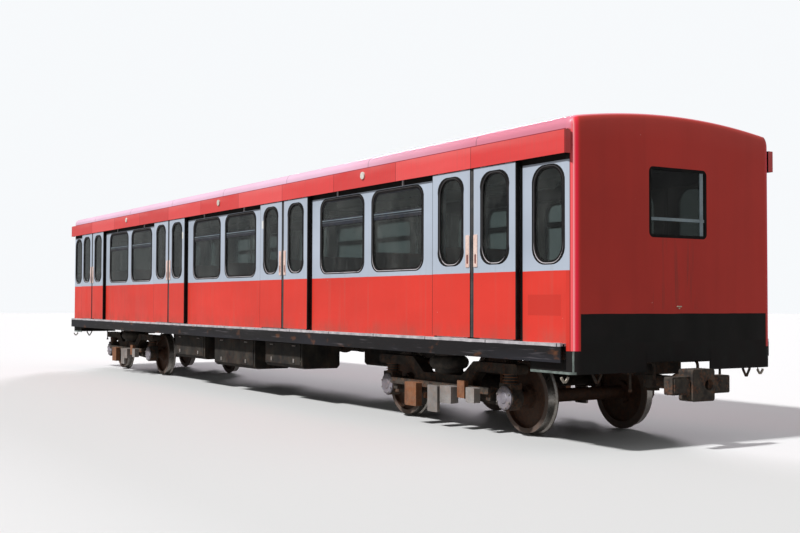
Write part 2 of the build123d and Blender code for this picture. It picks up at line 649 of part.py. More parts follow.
# Cross bearers between the long beams and out to the sides, with tapered ends
with BuildPart() as cross_bearers:
    for i in range(BEARER_COUNT):
        bearer_x = (i - (BEARER_COUNT - 1) / 2) * BEARER_PITCH
        with BuildSketch(Plane.YZ.offset(bearer_x - BEARER_THICK / 2)):
            with BuildLine():
                Polyline(
                    (LONG_BEAM_OUT, FLOOR_UNDER),
                    (BEARER_END, FLOOR_UNDER),
                    (BEARER_END, FLOOR_UNDER - BEARER_TIP),
                    (BEARER_END - BEARER_TAPER, BEARER_BOTTOM),
                    (LONG_BEAM_OUT, BEARER_BOTTOM),
                    close=True,
                )
            make_face()
            mirror(about=Plane.YZ)
            with Locations((0, FLOOR_UNDER - BEARER_DEPTH / 2)):
                Rectangle(2 * LONG_BEAM_Y, BEARER_DEPTH)
        extrude(amount=BEARER_THICK)

# Bolsters over the bogies and headstocks at the ends, both with tapered ends
with BuildPart() as cross_beams:
    for middle_x, thick, depth in [
        (PIVOT_X, 2 * BOLSTER_HALF, BOLSTER_DEPTH),
        (HEADSTOCK_IN + HEADSTOCK_THICK / 2, HEADSTOCK_THICK, HEADSTOCK_DEPTH),
    ]:
        with BuildSketch(Plane.YZ.offset(middle_x - thick / 2)):
            with BuildLine():
                Polyline(
                    (0, FLOOR_UNDER),
                    (BEARER_END, FLOOR_UNDER),
                    (BEARER_END, FLOOR_UNDER - BEARER_TIP),
                    (BEARER_END - BEARER_TAPER, FLOOR_UNDER - depth),
                    (0, FLOOR_UNDER - depth),
                    close=True,
                )
            make_face()
            mirror(about=Plane.YZ)
        extrude(amount=thick)
    mirror(about=Plane.YZ)

# Centre pins of the bogies, and the yokes with the pins of the couplers
with BuildPart() as pins:
    with BuildSketch(Plane.XY.offset(PIN_BOTTOM)):
        with Locations((PIVOT_X, 0)):
            Circle(PIN_RADIUS)
    extrude(amount=BOLSTER_BOTTOM - PIN_BOTTOM)
    yoke_bottom = EYE_TOP + COUPLER_CLEAR
    yoke_back = COUPLER_PIN_X - YOKE_LENGTH / 2
    with BuildSketch(Plane.XY.offset(yoke_bottom)):
        with Locations(((yoke_back + HEADSTOCK_IN) / 2, 0)):
            Rectangle(HEADSTOCK_IN - yoke_back, 2 * LONG_BEAM_Y)
    extrude(amount=FLOOR_UNDER - yoke_bottom)
    with BuildSketch(Plane.XY.offset(EYE_BOTTOM - COUPLER_CLEAR)):
        with Locations((COUPLER_PIN_X, 0)):
            Circle(COUPLER_PIN)
    extrude(amount=yoke_bottom - EYE_BOTTOM + COUPLER_CLEAR)
    with BuildSketch(Plane.XY.offset(EYE_BOTTOM - COUPLER_CLEAR)):
        with Locations((COUPLER_PIN_X, 0)):
            Circle(PIN_HEAD_RADIUS)
    extrude(amount=-PIN_HEAD_THICK)
    mirror(about=Plane.YZ)
    part_at(Plane.XY.offset(yoke_bottom), Plane.XY.offset(EYE_BOTTOM - COUPLER_CLEAR))
write_node("underframe", [long_beams, cross_bearers, cross_beams, pins])

# End aprons: a plate round each end below the floor, with its lower edge turned in
with BuildPart() as end_aprons:
    for height, depth in ((APRON_DEPTH, APRON_SHEET), (APRON_SHEET, APRON_FLANGE)):
        with BuildSketch(Plane.XY.offset(APRON_BOTTOM)):
            RectangleRounded(2 * HALF_LENGTH, 2 * HALF_WIDTH, CORNER)
            RectangleRounded(2 * (HALF_LENGTH - depth), 2 * (HALF_WIDTH - depth), CORNER - depth,
                             mode=Mode.SUBTRACT)
            Rectangle(2 * (HALF_LENGTH - APRON_RETURN), 2 * HALF_WIDTH, mode=Mode.SUBTRACT)
        extrude(amount=height)
    part_at(Plane.XY.offset(APRON_BOTTOM + APRON_SHEET), *both_ends(CAP_X), *both_sides(HALF_WIDTH - CORNER))
end_aprons.part.label = "end_aprons"
export_step(end_aprons.part, "parts/end_aprons.step")

# Fittings at the ends: pipe ends and bent hooks under the aprons, and a socket on each end wall
with BuildPart() as end_fittings:
    flange_edge = HALF_LENGTH - APRON_FLANGE
    for y, drop in ((INNER_PIPE_Y, INNER_PIPE_DROP), (OUTER_PIPE_Y, OUTER_PIPE_DROP)):
        with BuildSketch(Plane.XY.offset(APRON_BOTTOM)):
            with Locations((flange_edge + PIPE_RADIUS, y)):
                Circle(PIPE_RADIUS)
        extrude(amount=-drop)
    side_hook = Plane(
        origin=(HALF_LENGTH - SIDE_HOOK_SETBACK, HALF_WIDTH - HOOK_BAR / 2, HOOK_Z),
        x_dir=(1, 0, 0),
        z_dir=(0, -1, 0),
    )
    end_hook = Plane(
        origin=(flange_edge + HOOK_BAR / 2, HALF_WIDTH - END_HOOK_SETBACK, HOOK_Z),
        x_dir=(0, 1, 0),
        z_dir=(1, 0, 0),
    )
    for hook_plane in (side_hook, end_hook):
        with BuildSketch(hook_plane):
            with BuildLine():
                Polyline(
                    (0, -HOOK_DROP),
                    (HOOK_WIDTH / 2, 0),
                    (HOOK_WIDTH / 2 - HOOK_LEG, 0),
                    (HOOK_BAR / 2, HOOK_LEG - HOOK_DROP),
                    (HOOK_BAR / 2, HOOK_HANG),
                    (0, HOOK_HANG),
                    close=True,
                )
            make_face()
            mirror(about=Plane.YZ)
        extrude(amount=HOOK_BAR / 2, both=True)
    mirror(about=Plane.XZ)
    with BuildSketch(Plane.YZ.offset(HALF_LENGTH)):
        with Locations((0, FLOOR_TOP + SOCKET_RISE)):
            Rectangle(SOCKET_WIDTH, SOCKET_HEIGHT)
    extrude(amount=SOCKET_DEPTH)
    mirror(about=Plane.YZ)
end_fittings.part.label = "end_fittings"
export_step(end_fittings.part, "parts/end_fittings.step")

# Round lamps on the track covers, over the middle of each bay
with BuildPart() as door_lamps:
    with BuildSketch(Plane.XZ.offset(-COVER_OUT)):
        with Locations(*[(bay, ROOF_EDGE - LAMP_DROP) for bay in BAYS]):
            Circle(LAMP_RADIUS)
    extrude(amount=-LAMP_RISE)
    fillet(door_lamps.faces().sort_by(Axis.Y)[-1].edges(), LAMP_ROUND)
    mirror(about=Plane.XZ)
door_lamps.part.label = "door_lamps"
export_step(door_lamps.part, "parts/door_lamps.step")

# Boxes hung under the floor, with sloped lower edges and a raised lid on the outer face
with BuildPart() as equipment_boxes:
    for side, x, length, height in UNDER_BOXES:
        box_z = BEARER_BOTTOM - height / 2
        with BuildSketch(Plane.YZ.offset(x - length / 2)) as box_end:
            with Locations((side * BOX_Y, box_z)):
                Rectangle(BOX_WIDTH, height)
            chamfer(box_end.vertices().group_by(Axis.Y)[0], BOX_CHAMFER)
        extrude(amount=length)
        with BuildSketch(Plane.XZ.offset(-side * (HALF_WIDTH - BOX_SETBACK))):
            with Locations((x, box_z)):
                RectangleRounded(length - 2 * BOX_LID_MARGIN, height - 2 * BOX_LID_MARGIN, BOX_LID_MARGIN / 2)
        extrude(amount=-side * BOX_LID)
equipment_boxes.part.label = "equipment_boxes"
export_step(equipment_boxes.part, "parts/equipment_boxes.step")

# Air tanks with domed ends, strapped up to saddles under two bearers
with BuildPart() as air_tanks:
    for setback in TANK_SETBACKS:
        tank_y = HALF_WIDTH - setback
        with BuildSketch(Plane.XY.offset(TANK_Z)) as tank_half:
            with Locations((-BEARER_PITCH / 2, tank_y + TANK_RADIUS / 2)):
                Rectangle(2 * TANK_HALF, TANK_RADIUS)
            fillet(tank_half.vertices().group_by(Axis.Y)[-1], TANK_DOME)
        revolve(axis=Axis((0, tank_y, TANK_Z), (1, 0, 0)))
        for bearer_x in (-BEARER_PITCH, 0):
            with BuildSketch(Plane.YZ.offset(bearer_x - BEARER_THICK / 2)):
                with Locations((tank_y, TANK_Z)):
                    Circle(TANK_RADIUS + STRAP)
                    Rectangle(SADDLE_WIDTH, TANK_RADIUS + STRAP, align=(Align.CENTER, Align.MIN))
            extrude(amount=BEARER_THICK)
air_tanks.part.label = "air_tanks"
export_step(air_tanks.part, "parts/air_tanks.step")

# Benches across the car, in facing pairs at the windows and one at each end wall
bench_places = [(-INNER_END, 1), (INNER_END, -1)]  # X of the back's rear face, and the way that it faces
for bay in BAYS:
    bench_places += [(bay - BENCH_BACK_X, 1), (bay - BACK_GAP / 2, -1)]
    bench_places += [(bay + BACK_GAP / 2, 1), (bay + BENCH_BACK_X, -1)]

with BuildPart() as bench_backs:
    with BuildSketch(Plane.XZ.offset(-INNER_SIDE)) as back_ends:
        for x, way in bench_places:
            with BuildLine():
                Polyline(
                    (x, FLOOR_TOP),
                    (x + way * PLINTH_SETBACK, FLOOR_TOP),
                    (x + way * PLINTH_SETBACK, SEAT_TOP - SEAT_THICK),
                    (x + way * BACK_FOOT, SEAT_TOP),
                    (x + way * BACK_THICK, BACK_TOP),
                    (x, BACK_TOP),
                    close=True,
                )
            make_face()
        fillet(back_ends.vertices().group_by(Axis.Y)[-1], BACK_ROUND)
    extrude(amount=BENCH_WIDTH)
    mirror(about=Plane.XZ)

with BuildPart() as bench_seats:
    with BuildSketch(Plane.XZ.offset(-INNER_SIDE)):
        for x, way in bench_places:
            with BuildLine():
                seat = Polyline(
                    (x + way * PLINTH_SETBACK, SEAT_TOP - SEAT_THICK),
                    (x + way * (BENCH_DEPTH - SEAT_ROUND), SEAT_TOP - SEAT_THICK),
                    (x + way * BENCH_DEPTH, SEAT_TOP - SEAT_THICK + SEAT_ROUND),
                    (x + way * BENCH_DEPTH, SEAT_TOP - SEAT_ROUND),
                )
                top = Polyline(
                    (x + way * (BENCH_DEPTH - SEAT_ROUND), SEAT_TOP),
                    (x + way * BACK_FOOT, SEAT_TOP),
                    (x + way * PLINTH_SETBACK, SEAT_TOP - SEAT_THICK),
                )
                RadiusArc(seat @ 1, top @ 0, way * SEAT_ROUND)
            make_face()
    extrude(amount=BENCH_WIDTH)
    mirror(about=Plane.XZ)

with BuildPart() as bench_plinths:
    with BuildSketch(Plane.XY.offset(FLOOR_TOP)):
        for x, way in bench_places:
            with Locations((x + way * (PLINTH_SETBACK + PLINTH_DEPTH / 2), BENCH_Y)):
                Rectangle(PLINTH_DEPTH, BENCH_WIDTH)
    extrude(amount=BENCH_RISE - SEAT_THICK)
    mirror(about=Plane.XZ)
write_node("benches", [bench_backs, bench_seats, bench_plinths])

# Glass screens that stand on the bench backs by the doors
with BuildPart() as screens:
    with BuildSketch(Plane.XY.offset(BACK_TOP)):
        for bay in BAYS:
            for hand in (-1, 1):
                with Locations((bay + hand * (BENCH_BACK_X - BACK_THICK / 2), BENCH_Y)):
                    Rectangle(SCREEN_THICK, BENCH_WIDTH)
    extrude(amount=SCREEN_HEIGHT)
    mirror(about=Plane.XZ)
screens.part.label = "screens"
export_step(screens.part, "parts/screens.step")

# Grab poles by the doors, from floor to ceiling
with BuildPart() as grab_poles:
    pole_y = AISLE_HALF + POLE_INSET
    with BuildSketch(Plane.XY.offset(FLOOR_TOP)):
        for bay in BAYS:
            for hand in (-1, 1):
                with Locations((bay + hand * (BENCH_BACK_X + POLE_CLEAR), pole_y)):
                    Circle(POLE_RADIUS)
    extrude(amount=CEILING_Z - FLOOR_TOP)
    mirror(about=Plane.XZ)
grab_poles.part.label = "grab_poles"
export_step(grab_poles.part, "parts/grab_poles.step")

# Door leaf: panel, rubber nose, handle plate, hangers with rollers, guide fin and its own pane
with BuildPart() as leaf:
    with BuildSketch(Plane.XZ.offset(-LEAF_FACE)):
        with Locations(LEAF_MIDDLE):
            Rectangle(LEAF_OUTER - LEAF_INNER, LEAF_TOP - LEAF_BOTTOM)
        with Locations(DOOR_WINDOW_SPOT):
            RectangleRounded(*inset(DOOR_WINDOW, SEAL_WIDTH), mode=Mode.SUBTRACT)
    extrude(amount=LEAF_THICK)
    outer_edge = leaf.faces().sort_by(Axis.X)[-1].edges().filter_by(Axis.Z)
    fillet(outer_edge, LEAF_ROUND)
    with BuildSketch(Plane.XZ.offset(-LEAF_FACE)):
        with Locations(DOOR_WINDOW_SPOT):
            RectangleRounded(*DOOR_WINDOW)
    extrude(amount=SEAL_SETBACK, mode=Mode.SUBTRACT)
    with BuildSketch(Plane.XY.offset(LEAF_BOTTOM)) as nose:
        with Locations((NOSE_GAP, LEAF_BACK + LEAF_THICK / 2)):
            Rectangle(NOSE_WIDTH, NOSE_THICK, align=(Align.MIN, Align.CENTER))
        fillet(nose.vertices().group_by(Axis.X)[0], NOSE_THICK / 2 - 1)
    extrude(amount=LEAF_TOP - LEAF_BOTTOM)
    with BuildSketch(Plane.XZ.offset(-LEAF_FACE)):
        with Locations((LEAF_INNER + HANDLE_INSET + HANDLE_WIDTH / 2, FLOOR_TOP + HANDLE_RISE)):
            RectangleRounded(HANDLE_WIDTH, HANDLE_HEIGHT, HANDLE_ROUND)
            with Locations((0, -HANDLE_HEIGHT / 4)):
                RectangleRounded(GRIP_WIDTH, GRIP_HEIGHT, HANDLE_ROUND, mode=Mode.SUBTRACT)
    extrude(amount=-HANDLE_THICK)
    with BuildSketch(Plane.XZ.offset(-HANGER_IN - HANGER_THICK)):
        with Locations(*[(x, (LEAF_TOP + HANGER_TOP) / 2) for x in HANGER_X]):
            Rectangle(HANGER_WIDTH, HANGER_TOP - LEAF_TOP)
    extrude(amount=HANGER_THICK)
    with BuildSketch(Plane.XZ.offset(-HANGER_IN)):
        with Locations(*[(x, ROLLER_Z) for x in HANGER_X]):
            Circle(ROLLER_RADIUS)
    extrude(amount=HANGER_CLEAR + ROLLER_OVERHANG)
    with BuildSketch(Plane.XZ.offset(-GROOVE_Y - FIN_THICK / 2)):
        with Locations((LEAF_MIDDLE[0], (FIN_BOTTOM + LEAF_BOTTOM) / 2)):
            Rectangle(LEAF_OUTER - LEAF_INNER - 2 * FIN_INSET, LEAF_BOTTOM - FIN_BOTTOM)
    extrude(amount=FIN_THICK)
    with BuildSketch(Plane.XZ.offset(GLASS_SETBACK - LEAF_FACE)):
        with Locations(DOOR_WINDOW_SPOT):
            RectangleRounded(*inset(DOOR_WINDOW, SEAL_WIDTH + SEAT_GAP))
    extrude(amount=GLASS_THICK)

# Every leaf is a node: door number from the rear, side of the car, and which way it opens
for number, x in enumerate(DOORS, start=1):
    for side, hand in (("left", 1), ("right", -1)):
        for way, facing in (("rearward", -1), ("forward", 1)):
            piece = leaf.part
            if hand < 0:
                piece = piece.mirror(Plane.XZ)
            if facing < 0:
                piece = piece.mirror(Plane.YZ)
            piece = piece.moved(Location((x, 0, 0)))
            piece.label = f"door_{number}_{side}_{way}"
            export_step(piece, f"parts/door_{number}_{side}_{way}.step")

# Side beams of a bogie frame: they dip under the air springs and carry the brackets of the arms
with BuildPart() as side_beams:
    with BuildSketch(Plane.XZ.offset(-BEAM_OUT)):
        with BuildLine():
            upper = [(WELL_HALF, WELL_TOP), (WELL_HALF + WELL_SLOPE, BEAM_TOP), (BEAM_END, BEAM_TOP)]
            lower = [(BEAM_END, BEAM_UNDER), (BELLY_X + BELLY_SLOPE, BEAM_UNDER), (BELLY_X, BELLY_Z)]
            half_beam = upper + lower
            other_half = [(-x, z) for x, z in reversed(half_beam)]
            FilletPolyline(*half_beam, *other_half, radius=BEAM_ROUND, close=True)
        make_face()
    extrude(amount=BEAM_WIDTH)
    mirror(about=Plane.XZ)
    for hand in (-1, 1):
        for bracket_y in (BEAM_OUT, BEAM_Y + ARM_INSET - ARM_PLAY):
            with BuildSketch(Plane.XZ.offset(-bracket_y)):
                with BuildLine():
                    Polyline(
                        (hand * (ARM_PIVOT_X - ARM_PIVOT_RADIUS), AXLE_Z - ARM_PIVOT_RADIUS),
                        (hand * (ARM_PIVOT_X + ARM_PIVOT_RADIUS), AXLE_Z - ARM_PIVOT_RADIUS),
                        (hand * (ARM_PIVOT_X + ARM_PIVOT_RADIUS), BEAM_UNDER),
                        (hand * WELL_HALF, TUBE_Z),
                        close=True,
                    )
                make_face()
            bracket = extrude(amount=ARM_INSET - ARM_PLAY)
            mirror(bracket, about=Plane.XZ)
    part_at(*both_ends(WELL_HALF), *both_ends(BELLY_X + BELLY_SLOPE))

# Middle of a bogie frame: two cross tubes with the cradle of the centre pin between them
with BuildPart() as cross_tubes:
    with BuildSketch(Plane.XZ.offset(-BEAM_Y)):
        with Locations((TUBE_X, TUBE_Z), (-TUBE_X, TUBE_Z)):
            Circle(TUBE_RADIUS)
    extrude(amount=2 * BEAM_Y)
    with BuildSketch(Plane.XY.offset(CRADLE_BOTTOM)):
        Rectangle(2 * TUBE_X, 2 * CRADLE_HALF_WIDTH)
        Circle(PIN_RADIUS + BORE_CLEAR, mode=Mode.SUBTRACT)
    extrude(amount=CRADLE_HEIGHT)
    part_at(*both_sides(CRADLE_HALF_WIDTH))

# Round seats of the air springs on the side beams
with BuildPart() as air_seats:
    with BuildSketch(Plane.XY.offset(WELL_TOP)):
        with Locations((0, AIR_Y), (0, -AIR_Y)):
            Circle(AIR_SEAT_RADIUS)
    extrude(amount=AIR_SEAT)

# Brake gear: a curved block facing the tread of each wheel, on a link hung from the side beam
with BuildPart() as brake_gear:
    block_y = WHEEL_BACK + (FLANGE_THICK + WHEEL_WIDTH) / 2
    block_inner = WHEEL_RADIUS + BRAKE_CLEAR
    block_outer = block_inner + BLOCK_THICK
    link_x = AXLE_X - block_outer - LINK_WIDTH / 2
    link_z = (BEAM_UNDER + BEAM_TOP) / 2
    with BuildSketch(Plane.XZ.offset(-block_y - BLOCK_WIDTH / 2)):
        with BuildLine():
            near_arc = CenterArc((AXLE_X, AXLE_Z), block_inner, 180 - BLOCK_ANGLE / 2, BLOCK_ANGLE)
            far_arc = CenterArc((AXLE_X, AXLE_Z), block_outer, 180 - BLOCK_ANGLE / 2, BLOCK_ANGLE)
            Line(near_arc @ 0, far_arc @ 0)
            Line(near_arc @ 1, far_arc @ 1)
        make_face()
    extrude(amount=BLOCK_WIDTH)
    with BuildSketch(Plane.XZ.offset(-block_y - LINK_THICK / 2)):
        with Locations((link_x, (AXLE_Z - LINK_WIDTH + link_z) / 2)):
            Rectangle(LINK_WIDTH + 2 * LINK_LAP, link_z - AXLE_Z + LINK_WIDTH)
        with Locations((link_x, link_z)):
            Circle(LINK_PIN_RADIUS)
    extrude(amount=LINK_THICK)
    with BuildSketch(Plane.XZ.offset(-BEAM_Y)):
        with Locations((link_x, link_z)):
            Circle(LINK_PIN_RADIUS)
    extrude(amount=BEAM_Y - block_y)
    mirror(about=Plane.XZ)
    mirror(about=Plane.YZ)

# Axle boxes with their trailing arms and round lids
with BuildPart() as axle_boxes:
    with BuildSketch(Plane.XZ.offset(-BEAM_OUT)):
        with Locations((AXLE_X, AXLE_Z)):
            Circle(BOX_RADIUS)
            Rectangle(2 * PAD_HALF, PAD_HEIGHT, align=(Align.CENTER, Align.MIN))
    extrude(amount=BEAM_WIDTH)
    with BuildSketch(Plane.XZ.offset(ARM_INSET - BEAM_OUT)):
        with Locations((ARM_PIVOT_X, AXLE_Z)):
            Circle(ARM_PIVOT_RADIUS)
        with Locations((AXLE_X, AXLE_Z)):
            Circle(ARM_ROOT_RADIUS)
        make_hull()
    extrude(amount=BEAM_WIDTH - 2 * ARM_INSET)
    with BuildSketch(Plane.XZ.offset(-BEAM_OUT)):
        with Locations((AXLE_X, AXLE_Z)):
            Circle(JOURNAL_RADIUS + BORE_CLEAR)
    extrude(amount=BEAM_WIDTH, mode=Mode.SUBTRACT)
    with BuildSketch(Plane(origin=(AXLE_X, BEAM_OUT, AXLE_Z))):
        with BuildLine():
            Polyline(
                (0, 0),
                (LID_RADIUS, 0),
                (LID_RADIUS, LID_DEPTH / 2),
                (LID_RADIUS - LID_RIM, LID_DEPTH / 2 + LID_RIM / 2),
                (LID_RADIUS / 2, LID_DEPTH / 2 + LID_RIM / 2),
                (LID_RADIUS / 2 - LID_RIM / 2, LID_DEPTH),
                (0, LID_DEPTH),
                close=True,
            )
        make_face()
    revolve(axis=Axis((AXLE_X, BEAM_OUT, AXLE_Z), (0, 1, 0)))
    mirror(about=Plane.XZ)
    mirror(about=Plane.YZ)

# Rubber springs over the axle boxes, with steel plates between the rubber
with BuildPart() as rubber_springs:
    spring_height = BEAM_UNDER - PAD_TOP
    plate_pitch = (spring_height - PLATE_THICK) / (SPRING_PLATES - 1)
    with BuildSketch(Plane.XY.offset(PAD_TOP)):
        with Locations((AXLE_X, BEAM_MIDDLE)):
            Circle(SPRING_RADIUS)
    extrude(amount=spring_height)
    for i in range(SPRING_PLATES):
        with BuildSketch(Plane.XY.offset(PAD_TOP + i * plate_pitch)):
            with Locations((AXLE_X, BEAM_MIDDLE)):
                Circle(SPRING_PLATE)
        extrude(amount=PLATE_THICK)
    mirror(about=Plane.XZ)
    mirror(about=Plane.YZ)

# Shoe gear: a beam outside the arms on each side of the bogie, with its brackets and hung pieces
with BuildPart() as shoe_gear:
    shoe_face = SHOE_BEAM_Y + SHOE_BEAM_THICK
    bracket_end = AXLE_X - BOX_RADIUS - SHOE_BRACKET_GAP
    bracket_top = SHOE_BEAM_Z + SHOE_BEAM_HEIGHT / 2
    bracket_height = SHOE_BEAM_HEIGHT + SHOE_BRACKET_DROP
    with BuildSketch(Plane.XZ.offset(-shoe_face)):
        with Locations((0, SHOE_BEAM_Z)):
            RectangleRounded(2 * (bracket_end + SHOE_BEAM_TIP), SHOE_BEAM_HEIGHT, PIECE_ROUND)
    extrude(amount=SHOE_BEAM_THICK)
    with BuildSketch(Plane.XZ.offset(-SHOE_BEAM_Y)):
        with Locations((bracket_end - SHOE_BRACKET_WIDTH / 2, bracket_top - bracket_height / 2)):
            Rectangle(SHOE_BRACKET_WIDTH, bracket_height)
        mirror(about=Plane.YZ)
    extrude(amount=SHOE_BEAM_Y - BEAM_OUT + ARM_INSET)
    for low_x, high_x, low_z, high_z, depth in SHOE_PIECES:
        with BuildSketch(Plane.XZ.offset(-shoe_face)):
            with Locations(((low_x + high_x) / 2, (low_z + high_z) / 2)):
                RectangleRounded(high_x - low_x, high_z - low_z, PIECE_ROUND)
        extrude(amount=-depth)
    mirror(about=Plane.XZ)
    part_at(*both_sides(shoe_face), *both_sides(SHOE_BEAM_Y))

# Air springs between the bogie frame and the bolster: a foot, a bulging bellows and a head
with BuildPart() as air_springs:
    foot = WELL_TOP + AIR_SEAT
    head = BOLSTER_BOTTOM - AIR_GAP
    with BuildSketch(Plane.XZ):
        with BuildLine():
            lower_rim = Polyline((0, foot), (AIR_SEAT_RADIUS, foot), (AIR_SEAT_RADIUS, foot + AIR_RIM))
            upper_rim = Polyline((AIR_SEAT_RADIUS, head - AIR_RIM), (AIR_SEAT_RADIUS, head), (0, head))
            ThreePointArc(lower_rim @ 1, (AIR_RADIUS, (foot + head) / 2), upper_rim @ 0)
            Line(upper_rim @ 1, lower_rim @ 0)
        make_face()
    revolve(axis=Axis.Z)

# Wheelset: an axle stepped for its wheels and journals
with BuildPart() as axle:
    hub_in = WHEEL_BACK - HUB_BACK
    hub_out = hub_in + HUB_WIDTH
    with BuildSketch(Plane.XY):
        with BuildLine():
            Polyline(
                (0, 0),
                (AXLE_RADIUS, 0),
                (AXLE_RADIUS, hub_in),
                (AXLE_RADIUS + WHEEL_SEAT, hub_in),
                (AXLE_RADIUS + WHEEL_SEAT, hub_out),
                (JOURNAL_RADIUS, BEAM_Y - WHEEL_SEAT),
                (JOURNAL_RADIUS, BEAM_OUT - JOURNAL_END),
                (0, BEAM_OUT - JOURNAL_END),
                close=True,
            )
        make_face()
    revolve(axis=Axis.Y)
    mirror(about=Plane.XZ)

# Its two wheels: hub, thin web, rim with a tapered tread, and the flange on the inner side
with BuildPart() as wheels:
    rim_radius = WHEEL_RADIUS - RIM_THICK
    flange_radius = WHEEL_RADIUS + FLANGE_HEIGHT
    seat_radius = AXLE_RADIUS + WHEEL_SEAT
    web_in = WHEEL_BACK + WEB_SETBACK
    web_out = web_in + WEB_THICK
    wheel_face = WHEEL_BACK + WHEEL_WIDTH
    with BuildSketch(Plane.XY) as wheel_half:
        with BuildLine():
            Polyline(
                (seat_radius, hub_in),
                (HUB_RADIUS, hub_in),
                (HUB_RADIUS, web_in),
                (rim_radius, web_in),
                (rim_radius, WHEEL_BACK),
                (flange_radius, WHEEL_BACK),
                (flange_radius, WHEEL_BACK + FLANGE_THICK / 2 + FLANGE_ROUND / 2),
                (WHEEL_RADIUS, WHEEL_BACK + FLANGE_THICK),
                (WHEEL_RADIUS - TREAD_FALL, wheel_face),
                (rim_radius, wheel_face),
                (rim_radius, web_out),
                (HUB_RADIUS, web_out),
                (HUB_RADIUS, hub_out),
                (seat_radius, hub_out),
                close=True,
            )
        make_face()
        web_corners = wheel_half.vertices().filter_by(lambda corner: web_in - 1 < corner.Y < web_out + 1)
        fillet(web_corners, WEB_ROUND)
        fillet(wheel_half.vertices().group_by(Axis.X)[-1], FLANGE_ROUND)
    revolve(axis=Axis.Y)
    mirror(about=Plane.XZ)

# The two bogies, each with its outer and its inner wheelset
for place, hand in (("front", 1), ("rear", -1)):
    middle = Location((hand * PIVOT_X, 0, 0))
    write_node(f"bogie_frame_{place}", [side_beams, cross_tubes, air_seats, brake_gear], middle)
    write_node(f"axle_boxes_{place}", [axle_boxes, rubber_springs, shoe_gear], middle)
    springs = [air_springs.part.moved(Location((hand * PIVOT_X, side * AIR_Y, 0))) for side in (-1, 1)]
    spring_pair = Compound(label=f"air_springs_{place}", children=springs)
    export_step(spring_pair, f"parts/air_springs_{place}.step")
    for which, way in (("outer", hand), ("inner", -hand)):
        axle_place = Location((hand * PIVOT_X + way * AXLE_X, 0, AXLE_Z))
        write_node(f"wheelset_{place}_{which}", [axle, wheels], axle_place)

# Coupler: an eye on its pin, a drawbar with its buffer, a square head and a cable head on each side
with BuildPart() as coupler:
    with BuildSketch(Plane.YZ.offset(COUPLER_FACE_X)):
        with Locations((0, COUPLER_Z)):
            RectangleRounded(HEAD_WIDTH, HEAD_HEIGHT, HEAD_ROUND)
    extrude(amount=-HEAD_LENGTH)
    with BuildSketch(Plane.YZ.offset(COUPLER_FACE_X)):
        with Locations((CUP_Y, COUPLER_Z)):
            Circle(CUP_RADIUS)
    extrude(amount=-CUP_DEPTH, taper=CUP_TAPER, mode=Mode.SUBTRACT)
    cable_face = COUPLER_FACE_X - CABLE_HEAD_SETBACK - CABLE_LID
    for side in (-1, 1):
        with BuildSketch(Plane.YZ.offset(cable_face)):
            with Locations((side * (HEAD_WIDTH + CABLE_HEAD_WIDTH) / 2, COUPLER_Z)):
                RectangleRounded(CABLE_HEAD_WIDTH, CABLE_HEAD_HEIGHT, CABLE_LID_MARGIN)
            with Locations((side * HEAD_WIDTH / 2, COUPLER_Z)):
                Rectangle(CABLE_HEAD_WIDTH / 2, CABLE_HEAD_HEIGHT)
        extrude(amount=-CABLE_HEAD_LENGTH)
        with BuildSketch(Plane.YZ.offset(cable_face)):
            with Locations((side * (HEAD_WIDTH + CABLE_HEAD_WIDTH) / 2, COUPLER_Z)):
                lid = inset((CABLE_HEAD_WIDTH, CABLE_HEAD_HEIGHT, 1.5 * CABLE_LID_MARGIN), CABLE_LID_MARGIN)
                RectangleRounded(*lid)
        extrude(amount=CABLE_LID)
    head_back = COUPLER_FACE_X - HEAD_LENGTH
    for radius, reach in ((DRAWBAR_RADIUS, head_back - COUPLER_PIN_X), (BUFFER_RADIUS, BUFFER_LENGTH)):
        with BuildSketch(Plane.YZ.offset(head_back)):
            with Locations((0, COUPLER_Z)):
                Circle(radius)
        extrude(amount=-reach)
    with BuildSketch(Plane.XY.offset(EYE_BOTTOM)):
        with Locations((COUPLER_PIN_X, 0)):
            Circle(EYE_RADIUS)
    extrude(amount=EYE_HEIGHT)
    with BuildSketch(Plane.XY.offset(EYE_BOTTOM - COUPLER_CLEAR)):
        with Locations((COUPLER_PIN_X, 0)):
            Circle(COUPLER_PIN + BORE_CLEAR)
    extrude(amount=EYE_HEIGHT + 2 * COUPLER_CLEAR, mode=Mode.SUBTRACT)
for place, hand in (("front", 1), ("rear", -1)):
    piece = coupler.part if hand > 0 else coupler.part.mirror(Plane.YZ)
    piece.label = f"coupler_{place}"
    export_step(piece, f"parts/coupler_{place}.step")
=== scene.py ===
"""Looks of a metro trailer car: paint, glass, rubber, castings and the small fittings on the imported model.

Lengths are in metres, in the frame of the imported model: X runs along the car towards its front end, Y to
its left side and Z up. The sunlit side is the right one, at negative Y.
"""
from __future__ import annotations

import logging
import math
from dataclasses import dataclass
from enum import Enum
from typing import Sequence

import bpy
import numpy as np
from mathutils import Matrix


